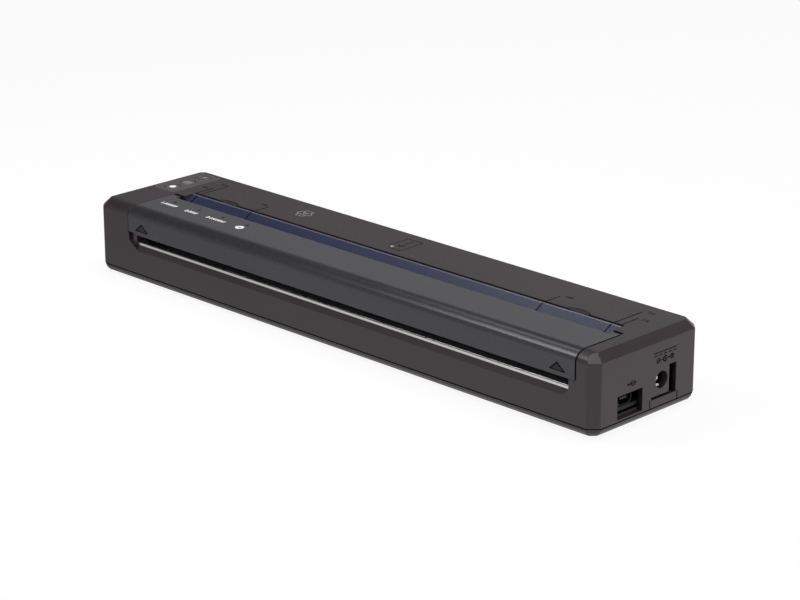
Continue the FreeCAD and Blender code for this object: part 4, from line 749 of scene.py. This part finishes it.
def buildJackShine():
    look = jackShine
    low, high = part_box("jack_pin")
    middle = (low + high) / 2
    radius = look["tipRadius"] * mm
    around, along = look["tipSegments"]
    tip = bmesh.new()
    place = Matrix.Translation((high.x, middle.y, middle.z))
    flat = Matrix.Diagonal((look["tipHeight"] * mm / radius, 1, 1, 1))
    bmesh.ops.create_uvsphere(tip, u_segments=around, v_segments=along, radius=radius,
                              matrix=place @ flat)
    finishPiece(tip, "jack_pin_tip", "pinNickel", "base")
    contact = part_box("jack_contact")[1]
    lift = (look["lipTall"] / 2 - look["lipOverlap"]) * mm
    lip = bmesh.new()
    place = Matrix.Translation((contact.x, middle.y, contact.z + lift))
    lean = Matrix.Rotation(math.radians(-look["lipLean"]), 4, "Y")
    size = Matrix.Diagonal((look["lipSheet"] * mm, look["lipWide"] * mm, look["lipTall"] * mm, 1))
    bmesh.ops.create_cube(lip, size=1.0, matrix=place @ lean @ size)
    bmesh.ops.bevel(lip, geom=lip.edges[:], offset=look["lipRound"] * mm,
                    segments=look["lipRoundSegments"], profile=0.5, affect="EDGES", material=-1)
    finishPiece(lip, "jack_contact_lip", "pinNickel", "base")


# Painted shade of the cross recesses in the heads of the six case screws: dark strokes on the heads
screwCross = {
    "reach": 1.1,
    "width": 0.42,
    "heights": (0.01, 0.012),    # not the same, so that the two strokes' faces don't coincide
    "depth": 0.05,
    "headFace": 0.05,            # points this near the lowest one belong to a head
    "headCell": 12.0,            # and those of one head share a cell of this size
}


def buildScrewCrosses():
    look = screwCross
    points = [v.co.copy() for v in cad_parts["case_screws"].data.vertices]
    lowest = min(p.z for p in points)
    cell = look["headCell"] * mm
    heads = {}
    for p in points:
        if p.z < lowest + look["headFace"] * mm:
            heads.setdefault((round(p.x / cell), round(p.y / cell)), []).append(p)
    across, down = look["heights"]
    reach = look["reach"]
    shape = bmesh.new()
    for head in heads.values():
        x = (min(p.x for p in head) + max(p.x for p in head)) / 2
        y = (min(p.y for p in head) + max(p.y for p in head)) / 2
        base = plane((x, y, lowest), (1, 0, 0), (0, -1, 0))
        addStroke(shape, base, (-reach, 0), (reach, 0), look["width"], across, look["depth"])
        addStroke(shape, base, (0, -reach), (0, reach), look["width"], down, look["depth"])
    finishPiece(shape, "screw_crosses", "engravedShadow", "base")


buildFeedArrows()
buildIndicatorLegends()
buildKeySymbols()
buildWidthLines()
buildRampCrest()
buildTearShade()
buildScoopShade()
buildSeamShadow()
buildCoverGapShadow()
buildTabGapShadow()
buildWidthNumbers()
buildSheetPictogram()
buildInsertPictogram()
buildEndRelief()
buildSocketContacts()
buildJackShine()
buildScrewCrosses()
print("marks and fittings made")


# Places and sizes in metres, powers in watts
studio = {
    "floorColour": "#f4f4f4",
    "floorReach": 6.0,
    "cameraWhite": 0.9,         # share of plain white in the floor that the camera sees
    "glossWhite": 0.9,          # and that a glossy surface sees
    "glossShade": (0.55, 1.0),  # that white dims to the left
    "glossReach": (-0.22, 0.07),
    "lowSky": (0.3, 0.74),      # pale walls of the studio, dimmer to the left
    "lowSkyReach": (-0.8, -0.55),
    "highSky": 0.04,            # dark ceiling
    "skyTurn": (0.35, 0.62),    # where the walls pass into the ceiling
    "aim": (0, 0, 0.015),
    "softBoxes": {
        "overhead": {"place": (0.35, 0.0, 1.4), "size": (1.2, 0.8), "power": 13.5},
        # two small ones, for the shine on the cover's front edge and on the ramp
        "edgeStrip": {"place": (-0.11, -0.16, 0.3), "size": (0.12, 0.12), "power": 0.46},
        "rampStrip": {"place": (-0.26, 0.09, 0.5), "size": (0.14, 0.12), "power": 0.17},
        "right": {"place": (1.7, 0.3, 0.4), "size": (0.8, 0.5), "power": 11.5},
        "rear": {"place": (-0.2, 1.5, 0.7), "size": (0.7, 0.5), "power": 1.8},
    },
}


# A level that changes between two places along x, and the height that the same coordinates give
def sidewaysLevel(tree, coordinates, reach, levels):
    place = addNode(tree, "ShaderNodeTexCoord").outputs[coordinates]
    split = addNode(tree, "ShaderNodeSeparateXYZ", inputs={"Vector": place})
    level = addNode(tree, "ShaderNodeMapRange", inputs={
        "Value": split.outputs["X"], "From Min": reach[0], "From Max": reach[1],
        "To Min": levels[0], "To Max": levels[1]})
    return level.outputs["Result"], split.outputs["Z"]


# The floor looks white to the camera and still takes the object's soft shadow
def buildFloor():
    shape = bmesh.new()
    bmesh.ops.create_grid(shape, x_segments=1, y_segments=1, size=studio["floorReach"])
    mesh = bpy.data.meshes.new("floor")
    shape.to_mesh(mesh)
    shape.free()
    material = bpy.data.materials.new("floorPaper")
    material.use_nodes = True
    tree = material.node_tree
    tree.nodes.clear()
    paper = addNode(tree, "ShaderNodeBsdfDiffuse", inputs={
        "Color": linearColour(studio["floorColour"])})
    path = addNode(tree, "ShaderNodeLightPath")
    shade = sidewaysLevel(tree, "Object", studio["glossReach"], studio["glossShade"])[0]
    level = addNode(tree, "ShaderNodeMapRange", inputs={
        "Value": path.outputs["Is Glossy Ray"], "From Min": 0.0, "From Max": 1.0, "To Min": 1.0,
        "To Max": shade})
    white = addNode(tree, "ShaderNodeEmission", inputs={
        "Color": (1, 1, 1, 1), "Strength": level.outputs["Result"]})
    seen, mirrored = [
        addNode(tree, "ShaderNodeMath", {"operation": "MULTIPLY"}, {0: path.outputs[ray], 1: share})
        for ray, share in (("Is Camera Ray", studio["cameraWhite"]),
                           ("Is Glossy Ray", studio["glossWhite"]))]
    share = addNode(tree, "ShaderNodeMath", {"operation": "MAXIMUM"}, {
        0: seen.outputs[0], 1: mirrored.outputs[0]})
    mixed = addNode(tree, "ShaderNodeMixShader", inputs={
        "Fac": share.outputs[0], 1: paper.outputs[0], 2: white.outputs[0]})
    addNode(tree, "ShaderNodeOutputMaterial", inputs={"Surface": mixed.outputs[0]})
    mesh.materials.append(material)
    floor = bpy.data.objects.new("floor", mesh)
    bpy.context.scene.collection.objects.link(floor)


# Pale walls and a dark ceiling; the camera sees white all round
def buildSky():
    world = bpy.data.worlds.new("studio")
    bpy.context.scene.world = world
    world.use_nodes = True
    tree = world.node_tree
    tree.nodes.clear()
    walls, height = sidewaysLevel(tree, "Generated", studio["lowSkyReach"], studio["lowSky"])
    level = addNode(tree, "ShaderNodeMapRange", {"interpolation_type": "SMOOTHSTEP"}, {
        "Value": height, "From Min": studio["skyTurn"][0], "From Max": studio["skyTurn"][1],
        "To Min": walls, "To Max": studio["highSky"]})
    room = addNode(tree, "ShaderNodeBackground", inputs={
        "Color": (1, 1, 1, 1), "Strength": level.outputs["Result"]})
    white = addNode(tree, "ShaderNodeBackground", inputs={"Color": (1, 1, 1, 1), "Strength": 1.0})
    path = addNode(tree, "ShaderNodeLightPath")
    mixed = addNode(tree, "ShaderNodeMixShader", inputs={
        "Fac": path.outputs["Is Camera Ray"], 1: room.outputs[0], 2: white.outputs[0]})
    addNode(tree, "ShaderNodeOutputWorld", inputs={"Surface": mixed.outputs[0]})


# Rectangular lamps that all face the object
def buildSoftBoxes():
    for name, box in studio["softBoxes"].items():
        lamp = bpy.data.lights.new(name, "AREA")
        lamp.shape = "RECTANGLE"
        lamp.size, lamp.size_y = box["size"]
        lamp.energy = box["power"]
        holder = bpy.data.objects.new(name, lamp)
        holder.location = box["place"]
        aim = Vector(studio["aim"]) - holder.location
        holder.rotation_mode = "QUATERNION"
        holder.rotation_quaternion = aim.to_track_quat("-Z", "Y")
        bpy.context.scene.collection.objects.link(holder)


# The photograph's view, from the front right and above, rolled a hair: degrees and mm
camera = {
    "turn": 44.7191,
    "rise": 19.2307,
    "roll": -0.0603,
    "place": (653.707, -649.280, 333.358),
    "lens": 119.941,
    "sensor": 36.0,
    "clip": (50.0, 20000.0),
}


def buildCamera():
    turn, rise, roll = [math.radians(camera[key]) for key in ("turn", "rise", "roll")]
    back = Vector((math.sin(turn) * math.cos(rise), -math.cos(turn) * math.cos(rise),
                   math.sin(rise)))
    right = Vector((0, 0, 1)).cross(back).normalized()
    upwards = back.cross(right)
    rolledRight = math.cos(roll) * right + math.sin(roll) * upwards
    rolledUp = math.cos(roll) * upwards - math.sin(roll) * right
    eye = bpy.data.cameras.new("camera")
    eye.lens = camera["lens"]
    eye.sensor_width = camera["sensor"]
    eye.clip_start, eye.clip_end = [reach * mm for reach in camera["clip"]]
    holder = bpy.data.objects.new("camera", eye)
    turned = Matrix((rolledRight, rolledUp, back)).transposed().to_4x4()
    holder.matrix_world = Matrix.Translation(Vector(camera["place"]) * mm) @ turned
    bpy.context.scene.collection.objects.link(holder)
    bpy.context.scene.camera = holder


buildFloor()
buildSky()
buildSoftBoxes()
buildCamera()
bpy.context.scene.view_settings.view_transform = "Standard"
print("studio and camera set")
